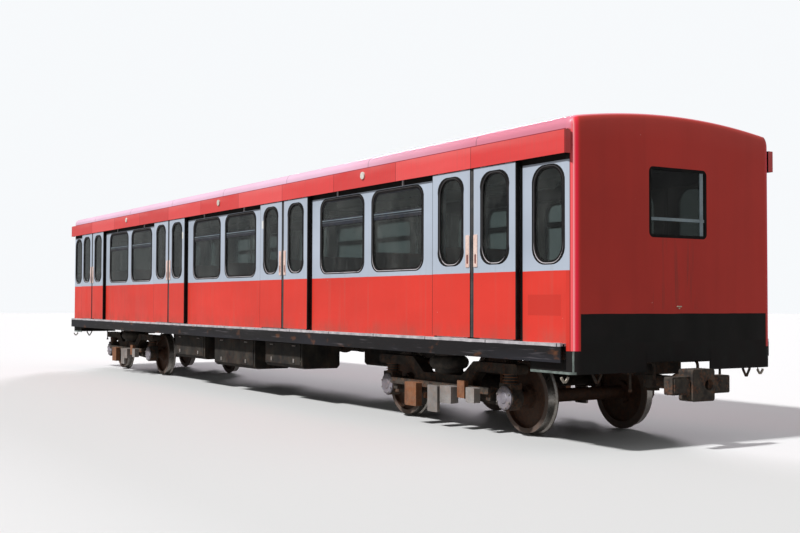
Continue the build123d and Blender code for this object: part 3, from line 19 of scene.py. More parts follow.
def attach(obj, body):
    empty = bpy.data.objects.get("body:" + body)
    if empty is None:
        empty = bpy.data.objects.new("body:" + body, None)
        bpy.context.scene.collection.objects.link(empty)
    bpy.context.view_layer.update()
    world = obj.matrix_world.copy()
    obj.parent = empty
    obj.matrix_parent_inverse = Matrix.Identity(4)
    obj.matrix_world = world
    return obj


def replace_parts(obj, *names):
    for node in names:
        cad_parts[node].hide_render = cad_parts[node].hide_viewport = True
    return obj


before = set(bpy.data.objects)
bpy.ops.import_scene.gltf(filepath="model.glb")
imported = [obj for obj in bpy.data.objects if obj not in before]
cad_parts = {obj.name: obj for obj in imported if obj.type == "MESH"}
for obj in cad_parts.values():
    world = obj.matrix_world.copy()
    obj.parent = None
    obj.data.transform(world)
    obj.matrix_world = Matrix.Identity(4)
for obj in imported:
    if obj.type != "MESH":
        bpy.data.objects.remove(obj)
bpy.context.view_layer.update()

Colour = tuple[float, float, float]
Array = np.ndarray
Surface = tuple[Array, list]
Bend = tuple[tuple[float, float], ...]
Flips = Sequence[tuple[int, int, int]]
log = logging.getLogger("metro_car")

# Driving dimensions of the car, as in the part's source
HALF_LENGTH = 9.050
HALF_WIDTH = 1.500
CORNER = 0.110
FLOOR_TOP = 1.141
PANEL_TOP = 3.033
ROOF_EDGE = 3.329
ROOF_CROWN = 3.6002
ROOF_BEND = 0.0545
ROOF_ROUND = 0.105
END_ROUND = 0.109
ROUND_START = HALF_LENGTH - END_ROUND
PANEL_END = 8.991
ARCH = 6.900
WALL_FOOT = 1.064
APRON_LOW = 0.824
PAINT_LINE = 1.892
DOOR_PITCH = 4.914
DOOR_X = [(i - 1.5) * DOOR_PITCH for i in range(4)]
BAY_X = [-DOOR_PITCH, 0.0, DOOR_PITCH]
LEAF_BACK = 1.508
LEAF_FACE = 1.560
BOGIE_X = 6.105
AXLE_X = 1.300
AXLE_Z = 0.453
LID_FACE = 1.1375

# Copies of a fitting: as it is, on both sides, on both ends, and at all four corners of the car
ONCE = ((1, 1, 1),)
SIDES = ((1, 1, 1), (1, -1, 1))
ENDS = ((1, 1, 1), (-1, 1, 1))
QUARTERS = ENDS + ((1, -1, 1), (-1, -1, 1))

# The leaves with a blank label
LABELLED = ("door_2_right_forward", "door_3_right_rearward")
SMOOTH_ANGLE = math.radians(40)

# Added to X, and half of it to Y, before a pattern repeats: it sets where the joints and ribs fall
PATTERN_SHIFT = 20.0


def dimmed(colour: Colour, factor: float) -> Colour:
    """Return a colour that many times as bright."""
    return tuple(factor * part for part in colour)


class Hue(Enum):
    """The car's own colours, as linear values."""

    RED = (0.69, 0.043, 0.028)
    COVER_RED = (0.73, 0.050, 0.048)
    ROOF_RED = (0.64, 0.060, 0.070)
    SIDE_GREY = (0.435, 0.492, 0.578)
    BLACK = (0.006, 0.0055, 0.005)
    SILL = (0.009, 0.008, 0.009)
    DUST = (0.30, 0.25, 0.19)
    RUST = (0.30, 0.105, 0.035)
    LINING = (0.62, 0.60, 0.54)

    def dim(self, factor: float) -> Colour:
        """Return the colour that many times as bright."""
        return dimmed(self.value, factor)


class Channel:
    """A number that varies over a surface: one socket, with the arithmetic that the finishes need."""

    def __init__(self, recipe: "NodeTree", socket: bpy.types.NodeSocket) -> None:
        """Wrap a socket of a node tree."""
        self.recipe = recipe
        self.socket = socket

    def math(self, operation: str, *values: "Channel | float") -> "Channel":
        """Add a Math node.

        Args:
            operation: the node's operation.
            values: its inputs in order, channels or plain numbers.

        Returns:
            Its outcome.
        """
        node = self.recipe.node("ShaderNodeMath", {"operation": operation}, dict(enumerate(values)))
        return Channel(self.recipe, node.outputs[0])

    def __add__(self, other: "Channel | float") -> "Channel":
        """Add."""
        return self.math("ADD", self, other)

    def __sub__(self, other: "Channel | float") -> "Channel":
        """Subtract."""
        return self.math("SUBTRACT", self, other)

    def __rsub__(self, other: float) -> "Channel":
        """Subtract this channel from a number."""
        return self.math("SUBTRACT", other, self)

    def __mul__(self, other: "Channel | float") -> "Channel":
        """Multiply."""
        return self.math("MULTIPLY", self, other)

    def __truediv__(self, other: "Channel | float") -> "Channel":
        """Divide."""
        return self.math("DIVIDE", self, other)

    def __pow__(self, other: float) -> "Channel":
        """Raise to a power."""
        return self.math("POWER", self, other)

    def __abs__(self) -> "Channel":
        """Take the size without its sign."""
        return self.math("ABSOLUTE", self)

    def __mod__(self, other: float) -> "Channel":
        """Take the remainder, never negative."""
        return self.math("FLOORED_MODULO", self, other)

    def __and__(self, other: "Channel") -> "Channel":
        """Keep where both masks are set."""
        return self.math("MINIMUM", self, other)

    def __or__(self, other: "Channel") -> "Channel":
        """Keep where either mask is set."""
        return self.math("MAXIMUM", self, other)

    __radd__ = __add__
    __rmul__ = __mul__

    def ramp(self, low: float, high: float, start: float = 0.0, end: float = 1.0) -> "Channel":
        """Add a clamped Map Range node.

        Args:
            low: where the outcome is start. It stays so beyond it.
            high: where the outcome is end. It stays so beyond it.
            start: outcome at low.
            end: outcome at high.

        Returns:
            Its outcome.
        """
        sockets = {"Value": self, "From Min": low, "From Max": high, "To Min": start, "To Max": end}
        node = self.recipe.node("ShaderNodeMapRange", {"clamp": True}, sockets)
        return Channel(self.recipe, node.outputs[0])

    def between(self, low: float, high: float, blur: float) -> "Channel":
        """Return a mask that is one from low to high and fades over blur outside them."""
        return self.ramp(low - blur, low) & self.ramp(high, high + blur, 1.0, 0.0)


class Tint:
    """A colour that varies over a surface."""

    def __init__(self, recipe: "NodeTree", source: Colour | Hue | bpy.types.NodeSocket) -> None:
        """Start from a plain colour or a colour socket."""
        self.recipe = recipe
        self.source = source

    def under(self, coat: "Colour | Hue | Tint", mask: Channel) -> "Tint":
        """Lay another colour over this one.

        Args:
            coat: the other colour.
            mask: how much of it shows, from 0 to 1.

        Returns:
            The mixed colour.
        """
        sockets = {"Factor": mask, "A": self.source, "B": coat}
        node = self.recipe.node("ShaderNodeMix", {"data_type": "RGBA"}, sockets)
        return Tint(self.recipe, node.outputs["Result"])

    def lit(self, factor: Channel) -> "Tint":
        """Return this colour made brighter or darker by a factor."""
        sockets = {0: self.source, "Scale": factor}
        node = self.recipe.node("ShaderNodeVectorMath", {"operation": "SCALE"}, sockets)
        return Tint(self.recipe, node.outputs[0])


class NodeTree:
    """The node tree of a material or of the world."""

    def __init__(self, owner: bpy.types.Material | bpy.types.World) -> None:
        """Empty the owner's tree."""
        self.owner = owner
        owner.use_nodes = True
        self.tree = owner.node_tree
        self.tree.nodes.clear()

    def node(self, kind: str, settings: dict | None = None, sockets: dict | None = None) -> bpy.types.Node:
        """Add a node.

        Args:
            kind: the node's type.
            settings: its own properties, set before its sockets.
            sockets: values, hues, channels, tints or sockets by the name or number of the input.

        Returns:
            The new node.
        """
        node = self.tree.nodes.new(kind)
        for key, value in (settings or {}).items():
            setattr(node, key, value)
        for key, value in (sockets or {}).items():
            self.feed(self.input_of(node, key), value)
        return node

    @staticmethod
    def input_of(node: bpy.types.Node, key: str | int) -> bpy.types.NodeSocket:
        """Return a node's input by number, or by the name that is in use with its settings."""
        if isinstance(key, int):
            return node.inputs[key]
        return next(entry for entry in node.inputs if entry.name == key and entry.enabled)

    def feed(self, entry: bpy.types.NodeSocket, value: object) -> None:
        """Link or set one input.

        Args:
            entry: the input.
            value: what goes into it: a number, a colour or vector, or what carries a socket.
        """
        value = getattr(value, "socket", getattr(value, "source", value))
        value = value.value if isinstance(value, Hue) else value
        if isinstance(value, bpy.types.NodeSocket):
            self.tree.links.new(value, entry)
        elif isinstance(value, tuple) and entry.type == "RGBA":
            entry.default_value = (*value, 1.0)
        else:
            entry.default_value = value


class Recipe(NodeTree):
    """The node tree of one material, with the patterns that its finish is made from."""

    def __init__(self, name: str) -> None:
        """Start an empty material of that name."""
        super().__init__(bpy.data.materials.new(name))

    def coordinates(self) -> bpy.types.NodeSocket:
        """Return the place of the point on the object, in metres."""
        return self.node("ShaderNodeTexCoord").outputs["Object"]

    def axes(self) -> tuple[Channel, Channel, Channel]:
        """Return X, Y and Z of the point on the object."""
        parts = self.node("ShaderNodeSeparateXYZ", sockets={0: self.coordinates()})
        return tuple(Channel(self, part) for part in parts.outputs)

    def noise(self, scale: float, stretch: Sequence[float] = (1, 1, 1), detail: float = 3.0,
              shift: float = 0.0) -> Channel:
        """Make soft noise.

        Args:
            scale: how many features there are to a metre.
            stretch: how much finer it is along each axis.
            detail: how many finer layers it has.
            shift: moves the pattern, so that two of the same scale differ.

        Returns:
            The noise, from 0 to 1.
        """
        sockets = {"Vector": self.coordinates(), "Location": (shift, shift, shift), "Scale": tuple(stretch)}
        mapped = self.node("ShaderNodeMapping", sockets=sockets)
        sockets = {"Vector": mapped.outputs[0], "Scale": scale, "Detail": detail}
        noise = self.node("ShaderNodeTexNoise", sockets=sockets)
        return Channel(self, noise.outputs[0])

    def specks(self, scale: float, size: float, stretch: Sequence[float] = (1, 1, 1)) -> Channel:
        """Make small round marks, one to a cell at most.

        Args:
            scale: how many cells there are to a metre.
            size: radius of a mark, in cells.
            stretch: how much finer it is along each axis.

        Returns:
            The marks' mask, from 0 to 1.
        """
        sockets = {"Vector": self.coordinates(), "Scale": tuple(stretch)}
        mapped = self.node("ShaderNodeMapping", sockets=sockets)
        cells = self.node("ShaderNodeTexVoronoi", sockets={"Vector": mapped.outputs[0], "Scale": scale})
        return Channel(self, cells.outputs["Distance"]).ramp(0.5 * size, size, 1.0, 0.0)

    def finish(self, colour: Tint | Colour, roughness: Channel | float, bump: Channel | None = None,
               depth: float = 0.001, **sockets: object) -> bpy.types.Material:
        """Put the surface together.

        Args:
            colour: base colour.
            roughness: plain number or channel.
            bump: height of the relief, from 0 to 1.
            depth: how deep the relief is, in metres.
            sockets: other inputs of the shader, by their names with underscores for spaces.

        Returns:
            The material.
        """
        inputs = {"Base Color": colour, "Roughness": roughness}
        inputs.update({key.replace("_", " "): value for key, value in sockets.items()})
        if bump is not None:
            relief = self.node("ShaderNodeBump", sockets={"Height": bump, "Distance": depth, "Strength": 1.0})
            inputs["Normal"] = relief.outputs[0]
        shader = self.node("ShaderNodeBsdfPrincipled", sockets=inputs)
        self.node("ShaderNodeOutputMaterial", sockets={"Surface": shader.outputs[0]})
        return self.owner


class Finish:
    """A finish of the car. Its fields say how it looks."""

    def make(self, name: str) -> bpy.types.Material:
        """Return the finish as a material of that name."""
        return self.surface(Recipe(name))

    def surface(self, recipe: Recipe) -> bpy.types.Material:
        """Put the finish together.

        Args:
            recipe: the material's node tree, still empty.

        Returns:
            The finished material.
        """
        raise NotImplementedError


@dataclass(frozen=True)
class BodyPaint(Finish):
    """Faded body paint in two colours with a straight line between them.

    Over it lie rain streaks, chips and grime along the foot, and beside each door leaf a black strip: the
    rubber seal there, with painted shadow of the leaf's edge. The bare place, if there is one, is a darker
    patch on the right side.
    """

    lower: Colour = Hue.RED.value
    upper: Colour = Hue.SIDE_GREY.value
    line: float = PAINT_LINE
    fade: float = 0.10
    streaks: float = 0.16
    grime_top: float = FLOOR_TOP + 0.20
    grime: float = 0.45
    shine: float = 0.34
    seal_and_shadow: tuple[float, float] = (0.815, 0.858)
    bare_place: tuple[float, float, float, float] | None = None

    def surface(self, recipe: Recipe) -> bpy.types.Material:
        """Put the finish together.

        Args:
            recipe: the material's node tree, still empty.

        Returns:
            The finished material.
        """
        x, y, z = recipe.axes()
        edge = recipe.noise(9.0, detail=2.0) * 0.004 - 0.002
        over_line = (z + edge).ramp(self.line - 0.0015, self.line + 0.0015)
        colour = Tint(recipe, self.lower).under(self.upper, over_line)
        patches = recipe.noise(0.9, (0.6, 1.0, 1.4), 4.0)
        colour = colour.lit(patches.ramp(0.3, 0.7, 1.0 - self.fade, 1.0 + self.fade))
        rain = recipe.noise(7.0, (3.0, 3.0, 0.10), 5.0).ramp(0.52, 0.80)
        colour = colour.under(Hue.DUST.dim(0.8), rain * self.streaks)
        if self.bare_place:
            low_x, high_x, low_z, high_z = self.bare_place
            bare = x.between(low_x, high_x, 0.004) & z.between(low_z, high_z, 0.004) & y.ramp(0.0, -0.1)
            colour = colour.under(dimmed(self.lower, 0.82), bare * 0.75)
        soil = recipe.noise(5.0, (1.0, 1.0, 0.6), 6.0).ramp(0.35, 0.75) * z.ramp(self.grime_top, FLOOR_TOP)
        colour = colour.under(Hue.DUST.dim(0.45), soil * self.grime)
        chips = recipe.specks(5.5, 0.035) & recipe.noise(1.1, shift=4.0).ramp(0.5, 0.56)
        colour = colour.under((0.78, 0.70, 0.66), chips * 0.7)
        rust = recipe.specks(9.0, 0.05, (1.0, 1.0, 0.7)) & recipe.noise(1.6, shift=7.0).ramp(0.56, 0.62)
        colour = colour.under(Hue.RUST.dim(0.6), rust * 0.6)
        # Black strip beside each door leaf: the rubber seal there, with painted shadow of the leaf's edge
        from_door = abs((x + 2.0 * DOOR_PITCH) % DOOR_PITCH - DOOR_PITCH / 2)
        colour = colour.under(Hue.BLACK, from_door.between(*self.seal_and_shadow, 0.001))
        worn = recipe.noise(3.0, (1.0, 1.0, 0.4), 5.0)
        roughness = worn.ramp(0.3, 0.7, self.shine - 0.06, self.shine + 0.12) + soil * 0.3
        dents = recipe.noise(1.3, (1.0, 1.0, 0.8), 2.0)
        return recipe.finish(colour, roughness, dents, 0.006, Coat_Weight=0.03, Coat_Roughness=0.2,
                             Specular_IOR_Level=0.30)


@dataclass(frozen=True)
class Worn(Finish):
    """A weathered finish in one colour: blotches, dust that settles on faces, rust and a fine relief."""

    base: Colour
    blotch: Colour | None = None
    scale: float = 6.0
    dust: float = 0.2
    rust: float = 0.0
    shine: float = 0.6
    metal: float = 0.0
    relief: float = 0.0006
    grain: Sequence[float] = (1.0, 1.0, 1.0)
    streaks: float = 0.0
    specular: float = 0.5

    def surface(self, recipe: Recipe) -> bpy.types.Material:
        """Put the finish together.

        Args:
            recipe: the material's node tree, still empty.

        Returns:
            The finished material.
        """
        colour = Tint(recipe, self.base)
        broad = recipe.noise(self.scale * 0.35, self.grain, 4.0)
        fine = recipe.noise(self.scale * 5.0, self.grain, 6.0, 3.0)
        if self.blotch:
            colour = colour.under(self.blotch, broad.ramp(0.42, 0.62))
        colour = colour.lit(fine.ramp(0.25, 0.75, 0.78, 1.22))
        if self.streaks:
            rain = recipe.noise(8.0, (3.0, 3.0, 0.12), 5.0).ramp(0.50, 0.78)
            colour = colour.under(Hue.DUST.dim(0.7), rain * self.streaks)
        if self.rust:
            scabs = (fine * 0.45 + recipe.noise(self.scale, self.grain, 5.0, 9.0) * 0.55).ramp(0.50, 0.60)
            brown = Tint(recipe, Hue.RUST.dim(0.45)).under(Hue.RUST, fine.ramp(0.3, 0.7))
            colour = colour.under(brown, scabs * self.rust)
        settled = recipe.noise(self.scale * 1.7, self.grain, 6.0, 5.0).ramp(0.35, 0.75)
        colour = colour.under(Hue.DUST, settled * self.dust)
        roughness = fine.ramp(0.2, 0.8, self.shine - 0.08, self.shine + 0.10) + settled * (0.5 * self.dust)
        return recipe.finish(colour, roughness, fine + broad, self.relief, Metallic=self.metal,
                             Specular_IOR_Level=self.specular)


@dataclass(frozen=True)
class Glass(Finish):
    """A window pane, tinted and hazy, with wiped arcs of dirt that run down from its top."""

    tint: Colour = (0.40, 0.46, 0.45)
    dirt: Colour = (0.34, 0.35, 0.33)
    haze: float = 0.08
    smears: float = 0.06

    def surface(self, recipe: Recipe) -> bpy.types.Material:
        """Put the finish together.

        Args:
            recipe: the material's node tree, still empty.

        Returns:
            The finished material.
        """
        film = recipe.noise(2.3, (1.0, 1.0, 0.7), 5.0).ramp(0.42, 0.75)
        wiped = recipe.noise(11.0, (1.0, 1.0, 0.35), 3.0, 2.0).ramp(0.55, 0.75)
        mask = film * self.haze + wiped * self.smears
        clear = recipe.node("ShaderNodeBsdfPrincipled", sockets={
            "Base Color": self.tint, "Roughness": 0.03, "IOR": 1.38, "Transmission Weight": 1.0})
        dull = recipe.node("ShaderNodeBsdfPrincipled", sockets={"Base Color": self.dirt, "Roughness": 0.85})
        mixed = recipe.node("ShaderNodeMixShader", sockets={0: mask, 1: clear.outputs[0], 2: dull.outputs[0]})
        recipe.node("ShaderNodeOutputMaterial", sockets={"Surface": mixed.outputs[0]})
        return recipe.owner


@dataclass(frozen=True)
class BeadMetal(Finish):
    """Bright strip in the window rubber, with a painted highlight along the foot of each window, and above it
    painted shade mixed with grime.
    """

    # Painted highlight colour below, painted shade colour above, and where the painted highlight gives way
    bright: Colour = (0.62, 0.58, 0.60)
    grime_and_shade: Colour = (0.012, 0.012, 0.014)
    foot: tuple[float, float] = (2.06, 2.20)

    def surface(self, recipe: Recipe) -> bpy.types.Material:
        """Put the finish together.

        Args:
            recipe: the material's node tree, still empty.

        Returns:
            The finished material.
        """
        _, _, z = recipe.axes()
        grime = recipe.noise(9.0, detail=4.0)
        # Painted light: the strip stays bright at the foot of the window as a painted highlight and turns
        # black above as painted shade; patches of grime darken it too
        black = z.ramp(*self.foot, 0.0, 0.9) | grime.ramp(0.55, 0.75)
        colour = Tint(recipe, self.bright).under(self.grime_and_shade, black)
        return recipe.finish(colour, grime.ramp(0.3, 0.7, 0.3, 0.5), Metallic=0.3)


@dataclass(frozen=True)
class CoverPaint(Finish):
    """Paint of the track covers, a little different in tone from sheet to sheet, paler towards the roof."""

    colour: Colour = Hue.COVER_RED.value
    faded: Colour = (0.80, 0.16, 0.16)
    chalky: Colour = (0.85, 0.36, 0.34)
    gap: Colour = (0.12, 0.010, 0.012)
    sheet: float = DOOR_PITCH / 3
    sheets_before: float = 20.0
    tone_step: float = 0.618

    def surface(self, recipe: Recipe) -> bpy.types.Material:
        """Put the finish together.

        Args:
            recipe: the material's node tree, still empty.

        Returns:
            The finished material.
        """
        x, _, z = recipe.axes()
        sheets = x / self.sheet + self.sheets_before
        tone = (sheets.math("ROUND", sheets) * self.tone_step) % 1.0
        colour = Tint(recipe, self.colour).lit(tone.ramp(0.0, 1.0, 0.86, 1.12))
        colour = colour.under(self.faded, tone.ramp(0.55, 0.95) * 0.28)
        chalk = recipe.noise(2.0, (0.5, 1.0, 3.0), 5.0).ramp(0.3, 0.8)
        colour = colour.under(self.chalky, chalk * z.ramp(ROOF_EDGE - 0.10, ROOF_EDGE, 0.05, 0.35))
        rain = recipe.noise(8.0, (3.0, 3.0, 0.12), 5.0).ramp(0.5, 0.8)
        colour = colour.under(Hue.DUST.dim(0.6), rain * 0.14)
        joint = abs(sheets % 1.0 - 0.5).ramp(0.0015, 0.0030, 1.0, 0.0)
        colour = colour.under(self.gap, joint * 0.8)
        dents = recipe.noise(1.6, (1.0, 1.0, 2.0), 2.0)
        roughness = chalk.ramp(0.0, 1.0, 0.30, 0.48)
        return recipe.finish(colour, roughness, dents, 0.010, Coat_Weight=0.2, Coat_Roughness=0.15)


@dataclass(frozen=True)
class RoofPaint(Finish):
    """Roof paint, chalky, with seams between its sheets and soot along the middle.

    Its shoulders carry a painted pink sky reflection over faded paint, paler from glare_from towards the rear
    end, over a dark red foot.
    """

    colour: Colour = Hue.ROOF_RED.value
    chalky: Colour = (0.72, 0.27, 0.27)
    sooty: Colour = (0.16, 0.12, 0.11)
    # Painted sky reflection on the shoulders, over faded paint: pink near the front, palest towards the rear
    pink: Colour = (0.70, 0.24, 0.33)
    palest_glare: Colour = (0.84, 0.58, 0.74)
    foot: Colour = (0.30, 0.010, 0.025)
    gap: Colour = (0.10, 0.03, 0.03)
    seams: tuple[float, ...] = (0.3, 0.9, 1.3)
    glare_from: float = 7.5
    glare_to: float = 3.5

    def surface(self, recipe: Recipe) -> bpy.types.Material:
        """Put the finish together.

        Args:
            recipe: the material's node tree, still empty.

        Returns:
            The finished material.
        """
        x, y, z = recipe.axes()
        chalk = recipe.noise(1.4, (0.35, 1.0, 1.0), 6.0)
        colour = Tint(recipe, self.colour).under(self.chalky, chalk.ramp(0.38, 0.75) * 0.7)
        soot = recipe.noise(2.6, (0.5, 1.2, 1.0), 6.0, 5.0).ramp(0.35, 0.7) * abs(y).ramp(1.25, 0.5)
        colour = colour.under(self.sooty, soot * 0.55)
        runs = recipe.noise(6.0, (1.6, 0.12, 0.12), 5.0, 3.0).ramp(0.52, 0.75) * abs(y).between(0.8, 1.3, 0.1)
        colour = colour.under(Hue.DUST.dim(0.6), runs * 0.5)
        # Painted sky reflection on the shoulders over faded paint, paler towards the rear end
        fade_and_sky_glare = Tint(recipe, self.pink).under(self.palest_glare, x.ramp(self.glare_from, self.glare_to))
        colour = colour.under(fade_and_sky_glare.lit(chalk.ramp(0.3, 0.7, 0.92, 1.06)), abs(y).ramp(1.34, 1.41) * 0.92)
        colour = colour.under(self.foot, z.ramp(ROOF_EDGE + 0.024, ROOF_EDGE + 0.030, 1.0, 0.0))
        seam = abs((x + DOOR_PITCH / 4) % (DOOR_PITCH / 2) - DOOR_PITCH / 4).ramp(0.004, 0.008, 1.0, 0.0)
        for place in self.seams:
            seam = seam | abs(abs(y) - place).ramp(0.003, 0.006, 1.0, 0.0)
        colour = colour.under(self.gap, seam * 0.65)
        return recipe.finish(colour, chalk.ramp(0.3, 0.8, 0.36, 0.62), chalk - seam * 0.4, 0.006)


@dataclass(frozen=True)
class EndPaint(Finish):
    """Paint of the end walls: red, with rain streaks, a paler band under the roof and a black foot.

    Painted light lies on its rounding: along the side a painted lit strip with a thin painted highlight line,
    then painted crimson shade where it turns to the end. Over the roof it carries the roof's painted sky
    reflection over faded paint, with a painted highlight along its top edge. Beyond the seam with the side
    panels it goes on with their grey band, and black under the track covers.
    """

    colour: Colour = Hue.RED.dim(0.93)
    # Painted light on the corner rounding: crimson painted shade where it turns away from the side, a painted
    # lit strip, and a painted highlight line
    rounding: Colour = (0.92, 0.020, 0.055)
    painted_lit_side: Colour = (0.97, 0.15, 0.16)
    painted_glint: Colour = (1.0, 0.58, 0.62)
    under_roof: Colour = (0.80, 0.17, 0.14)
    # The roof's painted sky reflection over faded paint, carried onto the rounding
    fade_and_sky_glare: Colour = (0.72, 0.25, 0.34)
    # Painted highlight along the top edge of the end wall
    rim: Colour = (0.98, 0.34, 0.42)
    drip: Colour = (0.26, 0.05, 0.035)
    speck: Colour = (0.85, 0.72, 0.62)
    scuff: Colour = (0.018, 0.012, 0.012)
    nick: Colour = (0.55, 0.50, 0.46)
    black_top: float = 1.444
    black_half: float = 1.397
    window_half: float = 0.44
    window_foot: float = 2.262

    def surface(self, recipe: Recipe) -> bpy.types.Material:
        """Put the finish together.

        Args:
            recipe: the material's node tree, still empty.

        Returns:
            The finished material.
        """
        x, y, z = recipe.axes()
        patches = recipe.noise(0.8, (1.0, 1.0, 0.8), 4.0)
        colour = Tint(recipe, self.colour).lit(patches.ramp(0.3, 0.7, 0.88, 1.08))
        streak = recipe.noise(3.4, (1.0, 1.7, 0.09), 6.0).ramp(0.48, 0.80)
        colour = colour.under(Hue.RED.dim(0.66), streak * 0.28)
        # Painted light across the corner rounding beyond the panel seam: crimson painted shade, a painted lit
        # strip and a thin painted highlight
        onward = abs(x).ramp(PANEL_END + 0.001, PANEL_END + 0.013)
        colour = colour.under(self.rounding, abs(y).ramp(1.405, 1.435) & onward)
        colour = colour.under(self.painted_lit_side, abs(y).ramp(1.446, 1.458) * 0.75 & onward)
        colour = colour.under(self.painted_glint, abs(y).between(1.464, 1.468, 0.004) & onward * 0.5)
        crown = ROOF_CROWN - y * y * ROOF_BEND
        band = (crown - z).ramp(0.06, 0.30, 1.0, 0.0)
        colour = colour.under(self.under_roof, band * 0.12)
        # The roof's painted sky reflection over faded paint, carried onto the rounding over the roof
        by_roof = abs(x).ramp(PANEL_END - 0.001, PANEL_END + 0.029, 1.0, 0.0)
        colour = colour.under(self.fade_and_sky_glare, (z.ramp(ROOF_EDGE + 0.005, ROOF_EDGE + 0.030) & by_roof) * 0.9)
        # Painted highlight along the top edge, just under the outline
        colour = colour.under(self.rim, (crown - z).ramp(0.010, 0.024, 0.8, 0.0))
        below = abs(y).between(0.0, self.window_half, 0.05) & z.between(1.5, self.window_foot, 0.02)
        drips = recipe.noise(16.0, (1.0, 1.0, 0.05), 3.0, 2.0).ramp(0.56, 0.72) * below
        colour = colour.under(self.drip, drips * 0.5)
        specks = recipe.specks(4.2, 0.030) & recipe.noise(1.3, shift=2.0).ramp(0.5, 0.55)
        colour = colour.under(self.speck, specks * 0.8)
        line = z + recipe.noise(2.5, (0.0, 1.0, 0.0), 2.0) * 0.014 - 0.007
        foot = line.ramp(self.black_top - 0.002, self.black_top + 0.002, 1.0, 0.0)
        face = abs(y).ramp(self.black_half - 0.002, self.black_half + 0.002, 1.0, 0.0)
        black = foot & (face | z.ramp(WALL_FOOT + 0.002, WALL_FOOT - 0.002))
        colour = colour.under(Hue.BLACK, black)
        scuffs = recipe.noise(2.2, (1.0, 0.7, 1.0), 6.0, 6.0).ramp(0.48, 0.75) & black
        colour = colour.under(self.scuff, scuffs * 0.6)
        nicks = recipe.specks(5.0, 0.030, (1.0, 0.8, 1.0)) & recipe.noise(1.7, shift=5.0).ramp(0.5, 0.54)
        colour = colour.under(self.nick, (nicks & black) * 0.7)
        side = abs(x).ramp(PANEL_END - 0.003, PANEL_END, 1.0, 0.0)
        colour = colour.under(Hue.SIDE_GREY, side & z.between(PAINT_LINE, PANEL_TOP, 0.002))
        seam = abs(abs(x) - PANEL_END).ramp(0.002, 0.005, 1.0, 0.0)
        gap = side & z.between(PANEL_TOP, ROOF_EDGE, 0.002)
        colour = colour.under(Hue.BLACK, gap | (seam * 0.6 & z.ramp(ROOF_EDGE, ROOF_EDGE - 0.01)))
        roughness = recipe.noise(3.0, (1.0, 1.0, 0.4), 5.0).ramp(0.3, 0.7, 0.34, 0.5) + black * 0.25
        dents = recipe.noise(1.0, (1.0, 1.0, 0.7), 2.0)
        return recipe.finish(colour, roughness, dents, 0.008, Coat_Weight=black.ramp(0.0, 1.0, 0.12, 0.0),
                             Coat_Roughness=0.25, Specular_IOR_Level=0.25)


@dataclass(frozen=True)
class ApronPaint(Finish):
    """Black apron with a painted highlight down its corner edge and along its lower edge, pale grey-green
    with stains.
    """

    # Colour of the painted edge highlight
    bare: Colour = (0.20, 0.24, 0.22)
    scuff: Colour = (0.014, 0.010, 0.010)

    def surface(self, recipe: Recipe) -> bpy.types.Material:
        """Put the finish together.

        Args:
            recipe: the material's node tree, still empty.

        Returns:
            The finished material.
        """
        x, y, z = recipe.axes()
        scuffs = recipe.noise(6.0, (1.0, 1.0, 1.0), 6.0)
        colour = Tint(recipe, Hue.BLACK).under(self.scuff, scuffs.ramp(0.4, 0.7))
        edge = scuffs * 0.016 - 0.008
        # Painted highlight down the apron's corner edge and along the foot of its side returns, mottled with
        # stains
        corner = (abs(y) + edge).between(1.466, 1.600, 0.003) & (abs(x) + edge).between(9.012, 9.100, 0.003)
        foot = (z + edge).ramp(APRON_LOW + 0.024, APRON_LOW + 0.028, 1.0, 0.0)
        side = abs(x).ramp(9.045, 9.040) & abs(y).ramp(1.440, 1.450)
        stain = recipe.noise(14.0, detail=5.0).ramp(0.4, 0.65)
        worn = Tint(recipe, self.bare).under(dimmed(self.bare, 0.55), stain)
        colour = colour.under(worn, corner | (foot & side))
        return recipe.finish(colour, scuffs.ramp(0.3, 0.7, 0.6, 0.8), scuffs, 0.0015, Specular_IOR_Level=0.25)


